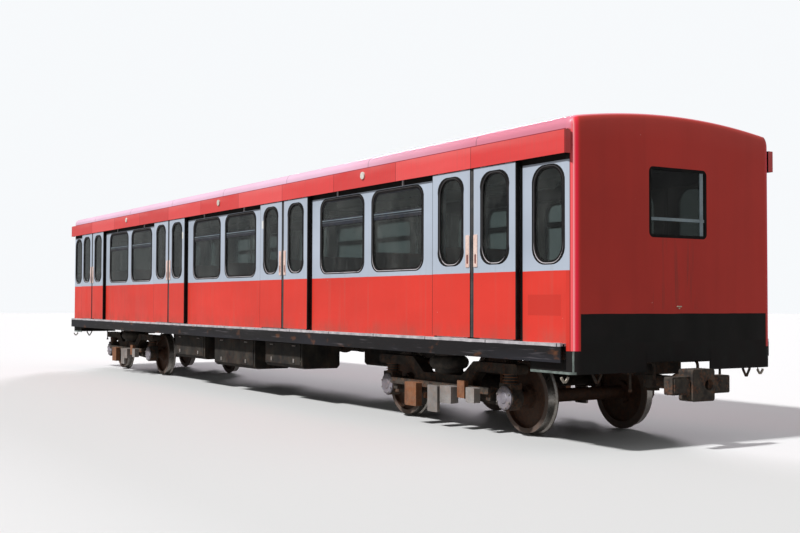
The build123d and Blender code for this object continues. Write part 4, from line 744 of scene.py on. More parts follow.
@dataclass(frozen=True)
class SillPaint(Finish):
    """The sill: a scuffed black beam with a painted sheen, under a bare galvanised upper edge that is dented
    at its joints.
    """

    # Colour of the painted sheen
    sheen: Colour = (0.018, 0.018, 0.024)
    scrape: Colour = (0.22, 0.20, 0.22)
    zinc: Colour = (0.70, 0.67, 0.69)
    dull_zinc: Colour = (0.42, 0.40, 0.43)
    gap: Colour = (0.06, 0.055, 0.06)
    edge: float = FLOOR_TOP - 0.030
    joint: float = 1.229

    def surface(self, recipe: Recipe) -> bpy.types.Material:
        """Put the finish together.

        Args:
            recipe: the material's node tree, still empty.

        Returns:
            The finished material.
        """
        x, y, z = recipe.axes()
        # Painted sheen: paler blue-grey blotches over the black
        sheen = recipe.noise(1.5, (0.4, 1.0, 3.0), 5.0)
        colour = Tint(recipe, Hue.SILL).under(self.sheen, sheen.ramp(0.45, 0.75))
        scrapes = recipe.noise(14.0, (0.12, 1.0, 2.0), 5.0, 4.0).ramp(0.60, 0.72)
        colour = colour.under(self.scrape, scrapes * 0.35)
        wave = recipe.noise(4.0, (1.0, 0.0, 0.0), 3.0, 8.0) * 0.016 - 0.008
        bare = (z + wave).ramp(self.edge - 0.002, self.edge + 0.002)
        cloudy = recipe.noise(7.0, detail=6.0).ramp(0.35, 0.65)
        joint = abs((x + PATTERN_SHIFT) % self.joint - self.joint / 2).ramp(0.006, 0.010, 1.0, 0.0)
        zinc = Tint(recipe, self.zinc).under(self.dull_zinc, cloudy).under(self.gap, joint)
        colour = colour.under(zinc, bare)
        rust = recipe.noise(3.0, (1.0, 1.0, 2.0), 6.0, 2.0).ramp(0.62, 0.72)
        colour = colour.under(Hue.RUST, rust * 0.35)
        groove = abs(y).between(LEAF_FACE - 0.036, LEAF_FACE - 0.016, 0.001)
        colour = colour.under(Hue.BLACK, groove & z.ramp(FLOOR_TOP - 0.004, FLOOR_TOP - 0.006))
        dents = recipe.noise(5.0, (0.6, 1.0, 2.0), 3.0)
        return recipe.finish(colour, sheen.ramp(0.3, 0.7, 0.42, 0.60), dents, 0.006, Metallic=bare * 0.35,
                             Specular_IOR_Level=0.3)


@dataclass(frozen=True)
class WheelSteel(Finish):
    """A wheelset: rusty webs and axle, bright treads and flanges, brown dust round the rims."""

    axle: float
    tread: float = 0.421
    rim: float = 0.363

    def surface(self, recipe: Recipe) -> bpy.types.Material:
        """Put the finish together.

        Args:
            recipe: the material's node tree, still empty.

        Returns:
            The finished material.
        """
        x, y, z = recipe.axes()
        across, height = x - self.axle, z - AXLE_Z
        radius = (across * across + height * height) ** 0.5
        scabs = recipe.noise(24.0, detail=6.0)
        # The rust colours are kept dark, partly as painted shade under the car
        rust = Tint(recipe, (0.055, 0.026, 0.015)).under((0.13, 0.055, 0.028), scabs.ramp(0.35, 0.7))
        rust = rust.under(Hue.DUST.dim(0.35), recipe.noise(6.0, shift=3.0).ramp(0.4, 0.8) * 0.4)
        polished = radius.ramp(self.tread - 0.0015, self.tread) & abs(y).between(0.70, 0.81, 0.006)
        worn = Tint(recipe, (0.50, 0.48, 0.45)).under((0.26, 0.22, 0.19), scabs.ramp(0.5, 0.7) * 0.6)
        face = radius.ramp(self.rim, self.rim + 0.004) * 0.35
        colour = rust.under((0.22, 0.19, 0.17), face).under(worn, polished)
        roughness = scabs.ramp(0.2, 0.8, 0.6, 0.85) - polished * 0.4
        return recipe.finish(colour, roughness, scabs, 0.0012, Metallic=polished * 0.9 + 0.1)


@dataclass(frozen=True)
class Vinyl(Finish):
    """Bench covering: grained vinyl, worn pale along the front of the seats."""

    colour: Colour = (0.17, 0.050, 0.032)
    worn: Colour = (0.30, 0.15, 0.10)

    def surface(self, recipe: Recipe) -> bpy.types.Material:
        """Put the finish together.

        Args:
            recipe: the material's node tree, still empty.

        Returns:
            The finished material.
        """
        _, y, z = recipe.axes()
        cells = recipe.specks(260.0, 0.9)
        rub = recipe.noise(3.0, (1.0, 0.5, 1.0), 5.0).ramp(0.4, 0.7) * z.between(1.52, 1.58, 0.03)
        colour = Tint(recipe, self.colour).under(self.worn, rub * 0.7)
        piping = abs(abs(y) - 0.93).ramp(0.003, 0.006, 1.0, 0.0)
        colour = colour.under(dimmed(self.colour, 0.4), piping)
        return recipe.finish(colour, rub.ramp(0.0, 1.0, 0.55, 0.38), cells - piping, 0.0006)


@dataclass(frozen=True)
class FloorCovering(Finish):
    """Ribbed rubber floor covering with trodden dirt, and the painted underside of the floor plate.

    Its corners and ends, which show between the end wall and the apron, are red and black.
    """

    rubber: Colour = (0.11, 0.105, 0.10)
    trodden: Colour = (0.24, 0.21, 0.17)
    underside: Colour = (0.035, 0.030, 0.028)
    rib: float = 0.030

    def surface(self, recipe: Recipe) -> bpy.types.Material:
        """Put the finish together.

        Args:
            recipe: the material's node tree, still empty.

        Returns:
            The finished material.
        """
        x, y, z = recipe.axes()
        ribs = abs((y + PATTERN_SHIFT / 2) % self.rib - self.rib / 2).ramp(0.004, 0.007)
        dirt = recipe.noise(2.5, detail=6.0)
        top = Tint(recipe, self.rubber).under(self.trodden, dirt.ramp(0.35, 0.7) * 0.6)
        colour = Tint(recipe, self.underside).under(Hue.DUST.dim(0.5), dirt.ramp(0.4, 0.8) * 0.4)
        colour = colour.under(top, z.ramp(FLOOR_TOP - 0.002, FLOOR_TOP - 0.001))
        corner = abs(y).ramp(HALF_WIDTH - CORNER, HALF_WIDTH - CORNER + 0.004) & abs(x).ramp(8.940, 8.944)
        corner = corner & abs(x).ramp(HALF_LENGTH - 0.020, HALF_LENGTH - 0.024)
        edge = z.ramp(FLOOR_TOP, FLOOR_TOP - 0.001) & z.ramp(WALL_FOOT - 0.002, WALL_FOOT + 0.002)
        colour = colour.under(Hue.RED, corner & edge)
        colour = colour.under(Hue.BLACK, abs(x).ramp(HALF_LENGTH - 0.024, HALF_LENGTH - 0.020))
        return recipe.finish(colour, dirt.ramp(0.3, 0.7, 0.5, 0.75), ribs, 0.0015)


@dataclass(frozen=True)
class Lining(Finish):
    """Cabin lining: cream laminate, dulled by touch, with a joint at each window bay."""

    colour: Colour = Hue.LINING.value
    gap: Colour = (0.12, 0.11, 0.10)
    sheet: float = DOOR_PITCH / 3

    def surface(self, recipe: Recipe) -> bpy.types.Material:
        """Put the finish together.

        Args:
            recipe: the material's node tree, still empty.

        Returns:
            The finished material.
        """
        x, _, _ = recipe.axes()
        stain = recipe.noise(1.6, detail=6.0)
        colour = Tint(recipe, self.colour).under(dimmed(self.colour, 0.62), stain.ramp(0.4, 0.75) * 0.6)
        joint = abs((x + PATTERN_SHIFT) % self.sheet - self.sheet / 2).ramp(0.002, 0.004, 1.0, 0.0)
        colour = colour.under(self.gap, joint * 0.8)
        return recipe.finish(colour, stain.ramp(0.2, 0.8, 0.4, 0.6), stain - joint, 0.0015)


class Skin:
    """A CAD node whose faces get their finishes by where they lie and which way they face."""

    def __init__(self, name: str) -> None:
        """Read the middles and normals of the node's faces."""
        self.name = name
        self.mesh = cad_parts[name].data
        count = len(self.mesh.polygons)
        centres = np.empty(count * 3)
        normals = np.empty(count * 3)
        self.mesh.polygons.foreach_get("center", centres)
        self.mesh.polygons.foreach_get("normal", normals)
        self.x, self.y, self.z = centres.reshape(-1, 3).T
        self.nx, self.ny, self.nz = normals.reshape(-1, 3).T
        self.index = np.zeros(count, dtype=np.int32)
        self.mesh.materials.clear()

    def dress(self, material: bpy.types.Material, where: Array | None = None) -> "Skin":
        """Give a finish to the faces of a mask, or to all faces.

        Args:
            material: the finish.
            where: mask of the faces.

        Returns:
            This skin, so that calls can follow one another.
        """
        self.mesh.materials.append(material)
        number = len(self.mesh.materials) - 1
        self.index[slice(None) if where is None else where] = number
        self.mesh.polygons.foreach_set("material_index", self.index)
        log.info("node %s: %s", self.name, material.name)
        return self


def ring_faces(rows: int, columns: int, closed_rows: bool, closed_columns: bool) -> Array:
    """Make the quads of a grid of points numbered row by row.

    Args:
        rows: how many rows it has.
        columns: how many points a row has.
        closed_rows: whether the last row joins the first.
        closed_columns: whether a row's last point joins its first.

    Returns:
        The four corners of each quad, one quad a row.
    """
    row = np.arange(rows if closed_rows else rows - 1)[:, None]
    column = np.arange(columns if closed_columns else columns - 1)[None, :]
    next_row, next_column = (row + 1) % rows, (column + 1) % columns
    corners = (row * columns + column, next_row * columns + column,
               next_row * columns + next_column, row * columns + next_column)
    size = (row.size, column.size)
    return np.stack([np.broadcast_to(corner, size) for corner in corners], -1).reshape(-1, 4)


def sweep(path: Array, across: Array, profile: Array, closed: bool) -> Surface:
    """Carry a closed profile along a path.

    A point of the surface is the path's point, plus the profile's first number times the sideways direction
    there, plus its second number times the cross product of the sideways direction and the path's own.

    Args:
        path: points of the path, one a row.
        across: sideways direction at each point, square to the path.
        profile: corners of the profile, one a row.
        closed: whether the path ends where it starts.

    Returns:
        The points and the faces.
    """
    if closed:
        along = np.roll(path, -1, 0) - np.roll(path, 1, 0)
    else:
        along = np.gradient(path, axis=0)
    along = along / np.linalg.norm(along, axis=1, keepdims=True)
    upward = np.cross(across, along)
    upward = upward / np.linalg.norm(upward, axis=1, keepdims=True)
    points = path[:, None] + profile[None, :, :1] * across[:, None] + profile[None, :, 1:] * upward[:, None]
    faces = ring_faces(len(path), len(profile), closed, True).tolist()
    if not closed:
        count = len(profile)
        faces.append(list(range(count)))
        faces.append([(len(path) - 1) * count + i for i in reversed(range(count))])
    return points.reshape(-1, 3), faces


def loft(rings: Array) -> Surface:
    """Close a surface through rings of points, whose second half runs back under the first.

    Twice three times its volume is the sum, over the triangles, of one corner times the cross product of the
    other two. Where that is negative, the faces are turned over.

    Args:
        rings: one ring a row, each of an even number of points.

    Returns:
        The points and the faces.
    """
    rows, count = rings.shape[:2]
    points = rings.reshape(-1, 3)
    half = np.arange(count // 2 - 1)
    strip = np.stack([half, half + 1, count - 2 - half, count - 1 - half], 1)
    faces = np.concatenate([ring_faces(rows, count, False, True), strip, strip[:, ::-1] + (rows - 1) * count])
    a, b, c, d = (points[faces[:, i]] for i in range(4))
    volume = np.einsum("ij,ij->", a, np.cross(b, c)) + np.einsum("ij,ij->", a, np.cross(c, d))
    return points, (faces if volume > 0 else faces[:, ::-1]).tolist()


def roof_outline(low: float, steps: int = 9) -> tuple[Array, Array]:
    """Draw the outer line of the body's section from one side over the roof to the other.

    Up the side it is straight, then it follows a circle of the roof's rounding, and over the roof its height
    is the crown less the bend times the square of the distance from the middle. The edge of the flat part of
    the end wall follows it point for point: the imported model's own outline, moved in by its rounding.

    Args:
        low: height at which both lines start and end.
        steps: points in a rounding.

    Returns:
        The outer line and the edge of the flat part.
    """
    middle = HALF_WIDTH - ROOF_ROUND
    tilt = math.atan(2 * ROOF_BEND * (middle + 0.016))
    top_y = middle + ROOF_ROUND * math.sin(tilt)
    turn_z = ROOF_CROWN - ROOF_BEND * top_y ** 2 - ROOF_ROUND * math.cos(tilt)
    angle = np.linspace(0.0, math.pi / 2 - tilt, steps)
    corner = np.stack([middle + ROOF_ROUND * np.cos(angle), turn_z + ROOF_ROUND * np.sin(angle)], 1)
    across = np.linspace(top_y, 0.0, 2 * steps)[1:]
    over = np.stack([across, ROOF_CROWN - ROOF_BEND * across ** 2], 1)
    outer = np.concatenate([[(HALF_WIDTH, low)], corner, over])
    flat_corner = np.stack([1.380 + 0.011 * np.cos(angle), 3.339 + 0.011 * np.sin(angle)], 1)
    lean = np.arcsin(across / ARCH)
    flat_over = (ARCH - END_ROUND) * np.stack([np.sin(lean), np.cos(lean)], 1) + (0.0, 3.600 - ARCH)
    flat = np.concatenate([[(HALF_WIDTH - END_ROUND, low)], flat_corner, flat_over])
    outer, flat = (np.concatenate([line, line[-2::-1] * (-1.0, 1.0)]) for line in (outer, flat))
    return outer, flat


def rim_rings(outer: Array, flat: Array, steps: int = 12, wall: float = 0.012) -> Array:
    """Turn a section's outline into the flat of the end wall, tightly so over the roof.

    At an even angle from 0 to 90 degrees, the outline's distance from the flat is its full distance times the
    cosine to a power, and the way along the car is the rounding's depth times the sine to that power.

    Args:
        outer: outline of the section.
        flat: edge of the flat part, point for point.
        steps: how many rings there are.
        wall: thickness of the sheet.

    Returns:
        The rings, each with the sheet's inner line after its outer one.
    """
    angle = np.linspace(0.0, math.pi / 2, steps)[:, None]
    power = np.interp(np.abs(outer[:, 0]), (1.41, 1.498), (0.42, 0.95))[None, :]
    shrink, onward = np.cos(angle).clip(0.0) ** power, np.sin(angle) ** power
    rings = []
    for inside, back in ((0.0, 0.0), (wall, wall)):
        reach = flat + (outer - flat) * (shrink * (1.0 - inside / END_ROUND))[..., None]
        along = np.broadcast_to(ROUND_START + (END_ROUND + 0.0003 - back) * onward, reach.shape[:2])
        rings.append(np.concatenate([along[..., None], reach], -1))
    return np.concatenate([rings[0], rings[1][:, ::-1]], 1)


def rounded_outline(width: float, height: float, radius: float, steps: int = 8) -> tuple[Array, Array]:
    """Draw a rounded rectangle round the origin.

    Each corner's points are the corner's middle plus the radius times the cosine and sine of an even angle.

    Args:
        width: its first size.
        height: its second size.
        radius: rounding of its corners.
        steps: points in a corner.

    Returns:
        Its points and their outward directions.
    """
    turn = np.linspace(0.0, math.pi / 2, steps)
    angle = np.concatenate([turn + quarter * math.pi / 2 for quarter in range(4)])
    sign_x = np.repeat([1, -1, -1, 1], steps)
    sign_y = np.repeat([1, 1, -1, -1], steps)
    out = np.stack([np.cos(angle), np.sin(angle)], 1)
    middles = np.stack([sign_x * (width / 2 - radius), sign_y * (height / 2 - radius)], 1)
    return middles + radius * out, out


def rectangle(wide: float, tall: float) -> Array:
    """Return the corners of a rectangle round the origin."""
    return np.array([(-1, -1), (1, -1), (1, 1), (-1, 1)]) * (wide / 2, tall / 2)


def box_sheet(low: Sequence[float], high: Sequence[float], bevel: float) -> Surface:
    """Make a block with bevelled edges along X: an eight-cornered section carried from low to high X.

    Args:
        low: its corner with the lowest numbers.
        high: its corner with the highest numbers.
        bevel: how much its edges lose.

    Returns:
        The points and the faces.
    """
    (x0, y0, z0), (x1, y1, z1) = low, high
    section = np.array([(y0 + bevel, z0), (y1 - bevel, z0), (y1, z0 + bevel), (y1, z1 - bevel),
                        (y1 - bevel, z1), (y0 + bevel, z1), (y0, z1 - bevel), (y0, z0 + bevel)])
    path = np.array([(x0, 0.0, 0.0), (x1, 0.0, 0.0)])
    return sweep(path, np.tile((0.0, 1.0, 0.0), (2, 1)), section * (1, -1), False)


def tube(path: Array, radius: float, sides: int = 10) -> Surface:
    """Make a round bar along a path: a circle of even angles carried along it.

    Args:
        path: points of its middle line, one a row.
        radius: half its thickness.
        sides: corners of the circle.

    Returns:
        The points and the faces.
    """
    path = np.asarray(path, dtype=float)
    along = np.gradient(path, axis=0)
    helper = np.where(np.abs(along[:, 2:]) > 0.9 * np.linalg.norm(along, axis=1, keepdims=True),
                      np.array([(1.0, 0.0, 0.0)]), np.array([(0.0, 0.0, 1.0)]))
    across = np.cross(along, helper)
    across = across / np.linalg.norm(across, axis=1, keepdims=True)
    angle = np.linspace(0.0, 2 * math.pi, sides, endpoint=False)
    return sweep(path, across, radius * np.stack([np.cos(angle), np.sin(angle)], 1), False)


def bolt(place: Sequence[float], axis: Sequence[float], radius: float, height: float) -> Surface:
    """Make a hexagon head with a chamfered top on its washer.

    Rings of six corners at even angles stand on the axis, each with its own share of the radius and height.

    Args:
        place: middle of its foot.
        axis: the way it points.
        radius: half the head's width over its corners.
        height: how far it stands up.

    Returns:
        The points and the faces.
    """
    axis = np.asarray(axis, dtype=float)
    side = np.cross(axis, (0.0, 0.0, 1.0) if abs(axis[2]) < 0.9 else (1.0, 0.0, 0.0))
    side = side / np.linalg.norm(side)
    other = np.cross(axis, side)
    rings = [(1.35, 0.0), (1.35, 0.18), (1.0, 0.18), (1.0, 0.85), (0.86, 1.0)]
    angle = np.linspace(0.0, 2 * math.pi, 6, endpoint=False)
    circle = np.cos(angle)[:, None] * side + np.sin(angle)[:, None] * other
    points = np.concatenate([place + radius * spread * circle + height * rise * axis
                             for spread, rise in rings])
    faces = ring_faces(len(rings), 6, False, True)[:, ::-1].tolist()
    faces += [list(range(6)), [24 + i for i in reversed(range(6))]]
    return points, faces


class Piece:
    """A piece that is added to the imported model, gathered from closed surfaces."""

    def __init__(self, name: str) -> None:
        """Start an empty piece of that name."""
        self.name = name
        self.points: list[Array] = []
        self.faces: list[list[int]] = []
        self.count = 0

    def put(self, surface: Surface, flips: Flips = ONCE) -> None:
        """Add copies of a closed surface.

        Args:
            surface: its points and faces.
            flips: one entry a copy, which is mirrored where the entry has a minus one.
        """
        points, faces = surface
        for flip in flips:
            turned = np.prod(flip) < 0
            self.points.append(np.asarray(points) * flip)
            self.faces += [[self.count + i for i in (reversed(face) if turned else face)] for face in faces]
            self.count += len(points)

    def block(self, low: Sequence[float], high: Sequence[float], bevel: float, flips: Flips = ONCE) -> None:
        """Add copies of a bevelled block between two corners."""
        self.put(box_sheet(low, high, bevel), flips)

    def build(self, body: str, slot: str, material: bpy.types.Material,
              smooth: bool = False) -> bpy.types.Object:
        """Make the mesh and hang it on its body.

        Args:
            body: name of the CAD body that it moves with.
            slot: the record's material slot; not used.
            material: its finish.
            smooth: whether shading runs smoothly over its edges below SMOOTH_ANGLE.

        Returns:
            The new object.
        """
        mesh = bpy.data.meshes.new(self.name)
        mesh.from_pydata(np.concatenate(self.points), [], self.faces)
        mesh.materials.append(material)
        if smooth:
            mesh.shade_smooth()
            mesh.set_sharp_from_angle(angle=SMOOTH_ANGLE)
        piece = bpy.data.objects.new(self.name, mesh)
        bpy.context.scene.collection.objects.link(piece)
        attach(piece, body)
        log.info("piece %s: %d faces", self.name, len(self.faces))
        return piece


@dataclass(frozen=True)
class Opening:
    """A rounded window opening: its middle on the wall, and its size."""

    middle: tuple[float, float]
    width: float
    height: float
    radius: float

    def line(self, face: float, inward: float = 0.0) -> tuple[Array, Array]:
        """Stand the opening's outline up in a wall that lies square to Y.

        Args:
            face: Y of the wall's face.
            inward: how far the outline is moved in.

        Returns:
            The outline's points, and its outward directions in the wall.
        """
        width, height = self.width - 2 * inward, self.height - 2 * inward
        outline, out = rounded_outline(width, height, self.radius - inward)
        return np.insert(outline + self.middle, 1, face, axis=1), np.insert(out, 1, 0.0, axis=1)

    def bead(self, face: float, inward: float = 0.003, wide: float = 0.011, rise: float = 0.0025) -> Surface:
        """Make the bright strip round the opening.

        The outline, moved in by inward, carries a wedge whose face slopes down towards the glass.

        Args:
            face: Y of the wall's face.
            inward: how far the strip's outer edge lies inside the opening.
            wide: its width.
            rise: how far it stands out of the wall.

        Returns:
            Its points and faces.
        """
        path, across = self.line(face, inward)
        wedge = np.array([(0.0, -0.004), (0.0, rise), (-0.3 * wide, rise), (-wide, -0.001), (-wide, -0.004)])
        return sweep(path, across, wedge, True)

    def lip(self, face: float, corner: float, wide: float = 0.022, rise: float = 0.0025) -> Surface:
        """Make the flat lip with which the rubber covers the wall round the opening.

        The outline carries a flat strip. Its width above and below is 0.45 of the width beside the opening,
        and both grow by corner times the product of the outward direction's two parts, so most at 45 degrees.

        Args:
            face: Y of the wall's face.
            corner: how much wider the lip is round the corners.
            wide: its width beside the opening.
            rise: how far it stands out of the wall.

        Returns:
            Its points and faces.
        """
        path, out = self.line(face)
        across = out * (1.0, 0.0, 0.45) * (1.0 + corner * np.abs(out[:, :1] * out[:, 2:]))
        strip = np.array([(-0.004, -0.001), (-0.004, rise), (0.7 * wide, rise), (wide, 0.3 * rise),
                          (wide, -0.001)])
        return sweep(path, across, strip, True)


class Palette:
    """Every finish of the car, made once."""

    def __init__(self) -> None:
        """Make the finishes."""
        self.panel = BodyPaint(bare_place=(8.32, 8.86, 1.425, 1.64)).make("panel_paint")
        self.door = BodyPaint(fade=0.07, streaks=0.12, seal_and_shadow=(0.807, 0.840)).make("door_paint")
        self.lining = Lining().make("lining")
        self.cover = CoverPaint().make("cover_paint")
        self.roof = RoofPaint().make("roof_paint")
        self.end = EndPaint().make("end_paint")
        self.sill = SillPaint().make("sill_paint")
        self.glass = Glass().make("window_glass")
        # The end panes are tinted much darker than the side panes, as painted shade of the end wall
        self.end_glass = Glass(tint=(0.10, 0.115, 0.11), haze=0.05, smears=0.03).make("end_glass")
        self.screen = Glass(tint=(0.80, 0.84, 0.83), haze=0.06, smears=0.04).make("screen_glass")
        self.rubber = Worn((0.004, 0.004, 0.005), blotch=(0.010, 0.009, 0.010), scale=8.0, dust=0.04,
                           shine=0.7, specular=0.12).make("window_rubber")
        self.nose = Worn((0.050, 0.052, 0.056), blotch=(0.030, 0.030, 0.033), scale=5.0,
                         dust=0.15).make("door_rubber")
        self.black = Worn(Hue.BLACK.value, blotch=(0.012, 0.009, 0.009), scale=4.0, dust=0.03, rust=0.03,
                          shine=0.75, specular=0.25).make("black_paint")
        # Frame, box and cast finishes are kept very dark: their own dark paint and grime, darkened further as
        # painted shade under the car
        self.frame = Worn((0.016, 0.013, 0.012), blotch=(0.028, 0.020, 0.016), scale=5.0, dust=0.20,
                          rust=0.22, shine=0.8, specular=0.3).make("frame_steel")
        self.box = Worn((0.014, 0.013, 0.013), blotch=(0.009, 0.009, 0.009), scale=3.0, dust=0.14,
                        rust=0.08, shine=0.7, streaks=0.1, specular=0.3).make("box_paint")
        self.cast = Worn((0.034, 0.028, 0.025), blotch=(0.020, 0.017, 0.016), scale=7.0, dust=0.24,
                         rust=0.35, shine=0.8, relief=0.002, specular=0.35).make("cast_parts")
        self.lid = Worn((0.33, 0.32, 0.37), blotch=(0.22, 0.20, 0.23), scale=9.0, dust=0.25, rust=0.20,
                        shine=0.55, metal=0.3).make("lid_metal")
        self.rusty = Worn((0.25, 0.095, 0.040), blotch=(0.16, 0.060, 0.028), scale=10.0, dust=0.25,
                          rust=0.8, shine=0.85).make("rusty_iron")
        self.bracket = Worn((0.36, 0.34, 0.33), blotch=(0.24, 0.22, 0.21), scale=8.0, dust=0.3, rust=0.25,
                            metal=0.3).make("pale_bracket")
        self.zinc = Worn((0.78, 0.74, 0.77), blotch=(0.50, 0.48, 0.51), scale=2.2, dust=0.18, rust=0.14,
                         shine=0.5, metal=0.25).make("bare_steel")
        self.pole = Worn((0.60, 0.60, 0.61), scale=20.0, dust=0.04, shine=0.28, metal=0.95, relief=0.0002,
                         grain=(1.0, 1.0, 0.1)).make("pole_steel")
        self.spring = Worn((0.020, 0.019, 0.019), blotch=(0.040, 0.036, 0.033), scale=7.0, dust=0.30,
                           shine=0.75).make("spring_rubber")
        self.lamp = Worn((0.74, 0.70, 0.64), blotch=(0.60, 0.54, 0.47), scale=14.0, dust=0.18,
                         shine=0.25).make("lamp_lens")
        self.handle = Worn((0.92, 0.70, 0.62), blotch=(0.80, 0.54, 0.46), scale=16.0, dust=0.08, rust=0.10,
                           shine=0.35, metal=0.15).make("handle_plate")
        self.slot_red = Worn((0.18, 0.018, 0.016), scale=16.0, dust=0.10, shine=0.5).make("handle_slot")
        self.apron = ApronPaint().make("apron_paint")
        self.strap = Worn((0.52, 0.47, 0.40), blotch=(0.36, 0.31, 0.25), scale=12.0, dust=0.15, rust=0.15,
                          shine=0.55, metal=0.2).make("strap_steel")
        self.gutter = Worn((0.20, 0.008, 0.014), blotch=(0.05, 0.010, 0.012), dust=0.3).make("gutter_seal")
        self.vent = Worn((0.010, 0.014, 0.026), blotch=(0.006, 0.008, 0.014), dust=0.1,
                         shine=0.5).make("vent_paint")
        self.edge = Worn((0.30, 0.38, 0.42), blotch=(0.20, 0.27, 0.31), scale=9.0, dust=0.15, rust=0.05,
                         shine=0.5, metal=0.2).make("edge_metal")
        self.bead = BeadMetal().make("bead_metal")
        self.cream = Worn((0.66, 0.58, 0.44), scale=20.0, dust=0.10, shine=0.5).make("cream_paint")
        self.label = Worn((0.80, 0.80, 0.78), blotch=(0.68, 0.67, 0.63), scale=25.0, dust=0.10,
                          shine=0.5).make("blank_label")
        self.vinyl = Vinyl().make("bench_covering")
        self.floor = FloorCovering().make("floor_covering")
        self.ceiling = Lining((0.66, 0.65, 0.60)).make("ceiling_lining")


@dataclass
class Shell:
    """The car body: panels, windows, covers, sills, roof and end walls."""

    looks: Palette
    wide_window: tuple[float, float, float] = (1.228, 1.056, 0.170)
    wide_window_x: float = 0.726
    wide_window_z: float = 2.485
    slim_window: tuple[float, float, float] = (0.496, 1.034, 0.200)
    slim_window_x: float = 8.656
    slim_window_z: float = 2.483
    end_window: tuple[float, float] = (0.876, 0.763)
    end_window_z: float = 2.643
    end_bar: float = 9.0365
    glass_face: float = 1.4862
    vent_z: float = 2.688
    bracket_x: float = 0.860
    bracket_top: float = 3.110
    decks: int = 14
    deck_end: float = 8.936
    deck_y: float = 1.5615
    gutter_end: float = 8.980
    apron_top: float = 1.0615
    apron_cut: float = 0.480
    cut_top: float = 0.928
    return_x: float = 8.360
    sheet: float = 0.012
    hook: Bend = ((0.044, 0.794), (0.040, 0.778), (0.009, 0.740))
    hook_place: tuple[float, float] = (8.895, 1.480)
    loop: Bend = ((0.055, 0.836), (0.055, 0.808), (0.005, 0.727))
    loop_place: tuple[float, float] = (8.992, 1.130)

    def wide_windows(self) -> list[Opening]:
        """Return the windows of one side that stand in pairs between the doors."""
        return [Opening((bay + hand * self.wide_window_x, self.wide_window_z), *self.wide_window)
                for bay in BAY_X for hand in (-1, 1)]

    def slim_windows(self) -> list[Opening]:
        """Return the windows of one side between the last doors and the ends."""
        return [Opening((hand * self.slim_window_x, self.slim_window_z), *self.slim_window)
                for hand in (-1, 1)]

    def dress(self) -> None:
        """Give the body's CAD nodes their finishes."""
        looks = self.looks
        panels = Skin("side_panels").dress(looks.panel)
        panels.dress(looks.lining, np.abs(panels.y) < 1.4405)
        frames = Skin("window_frames").dress(looks.rubber)
        depth = np.abs(frames.y)
        bar = (np.abs(frames.z - self.vent_z) < 0.027) & (np.abs(frames.nx) < 0.5)
        frames.dress(looks.vent, bar & (depth > 1.4585) & (depth < 1.4780))
        panes = Skin("fixed_glass").dress(looks.glass)
        panes.dress(looks.end_glass, np.abs(panes.x) > 9.0)
        covers = Skin("track_covers").dress(looks.cover)
        covers.dress(looks.black, (np.abs(covers.y) < 1.5655) & (np.abs(covers.x) < 9.0165))
        Skin("cantrails").dress(looks.black)
        Skin("door_sills").dress(looks.sill)
        roof = Skin("roof_shell").dress(looks.roof)
        roof.dress(looks.lining, (roof.nz < -0.2) | (np.abs(roof.y) < 1.4505) & (np.abs(roof.nz) < 0.2))
        ends = Skin("end_walls").dress(looks.end)
        ends.dress(looks.lining, (np.abs(ends.x) < 8.9905) & (ends.nx * np.sign(ends.x) < -0.9))
        floor = Skin("floor_plate").dress(looks.floor)
        floor.dress(looks.apron, np.abs(floor.x) > 9.045)
        Skin("end_aprons").dress(looks.apron)
        Skin("end_fittings").dress(looks.frame)
        Skin("door_lamps").dress(looks.lamp)

    def window_beads(self) -> None:
        """Bright strips in the rubber round the fixed windows of both sides, and the rubber's outer lips."""
        beads, lips = Piece("window_beads"), Piece("window_lips")
        for opening in self.wide_windows() + self.slim_windows():
            beads.put(opening.bead(0.001 - HALF_WIDTH), SIDES)
            lips.put(opening.lip(-HALF_WIDTH, 1.0), SIDES)
        beads.build("car", "pole_steel", self.looks.bead, True)
        lips.build("car", "window_rubber", self.looks.rubber, True)

    def vents(self) -> None:
        """The tipping vents' frames on the panes: a dark bar with a pale edge, and a rim over the top."""
        bars, edges = Piece("vent_bars"), Piece("vent_edges")
        face, level = self.glass_face, self.vent_z
        for opening in self.wide_windows():
            left, right = (opening.middle[0] + way * (opening.width / 2 - 0.024) for way in (-1, 1))
            bars.block((left, face, level - 0.056), (right, face + 0.006, level + 0.040), 0.002, SIDES)
            for base, tall in ((level + 0.014, 0.009), (level - 0.012, 0.003)):
                edges.block((left, face + 0.005, base), (right, face + 0.009, base + tall), 0.001, SIDES)
            path, out = opening.line(-face, 0.042)
            order = np.argsort(-path[:, 0])
            order = order[path[order, 2] > level + 0.020]
            rim = rectangle(0.014, 0.005) + (0.0, 0.0025)
            bars.put(sweep(path[order], out[order], rim[::-1], False), SIDES)
        bars.build("car", "black_paint", self.looks.vent)
        edges.build("car", "pole_steel", self.looks.edge)

    def gap_brackets(self) -> None:
        """Pale brackets in the dark gap between the side panels and the track covers."""
        piece = Piece("gap_brackets")
        for bay in BAY_X:
            for x in (bay - self.bracket_x, bay + self.bracket_x):
                low, high = (x - 0.012, 1.479, PANEL_TOP - 0.002), (x + 0.012, 1.496, self.bracket_top)
                piece.block(low, high, 0.002, SIDES)
        piece.build("car", "bare_steel", self.looks.zinc)

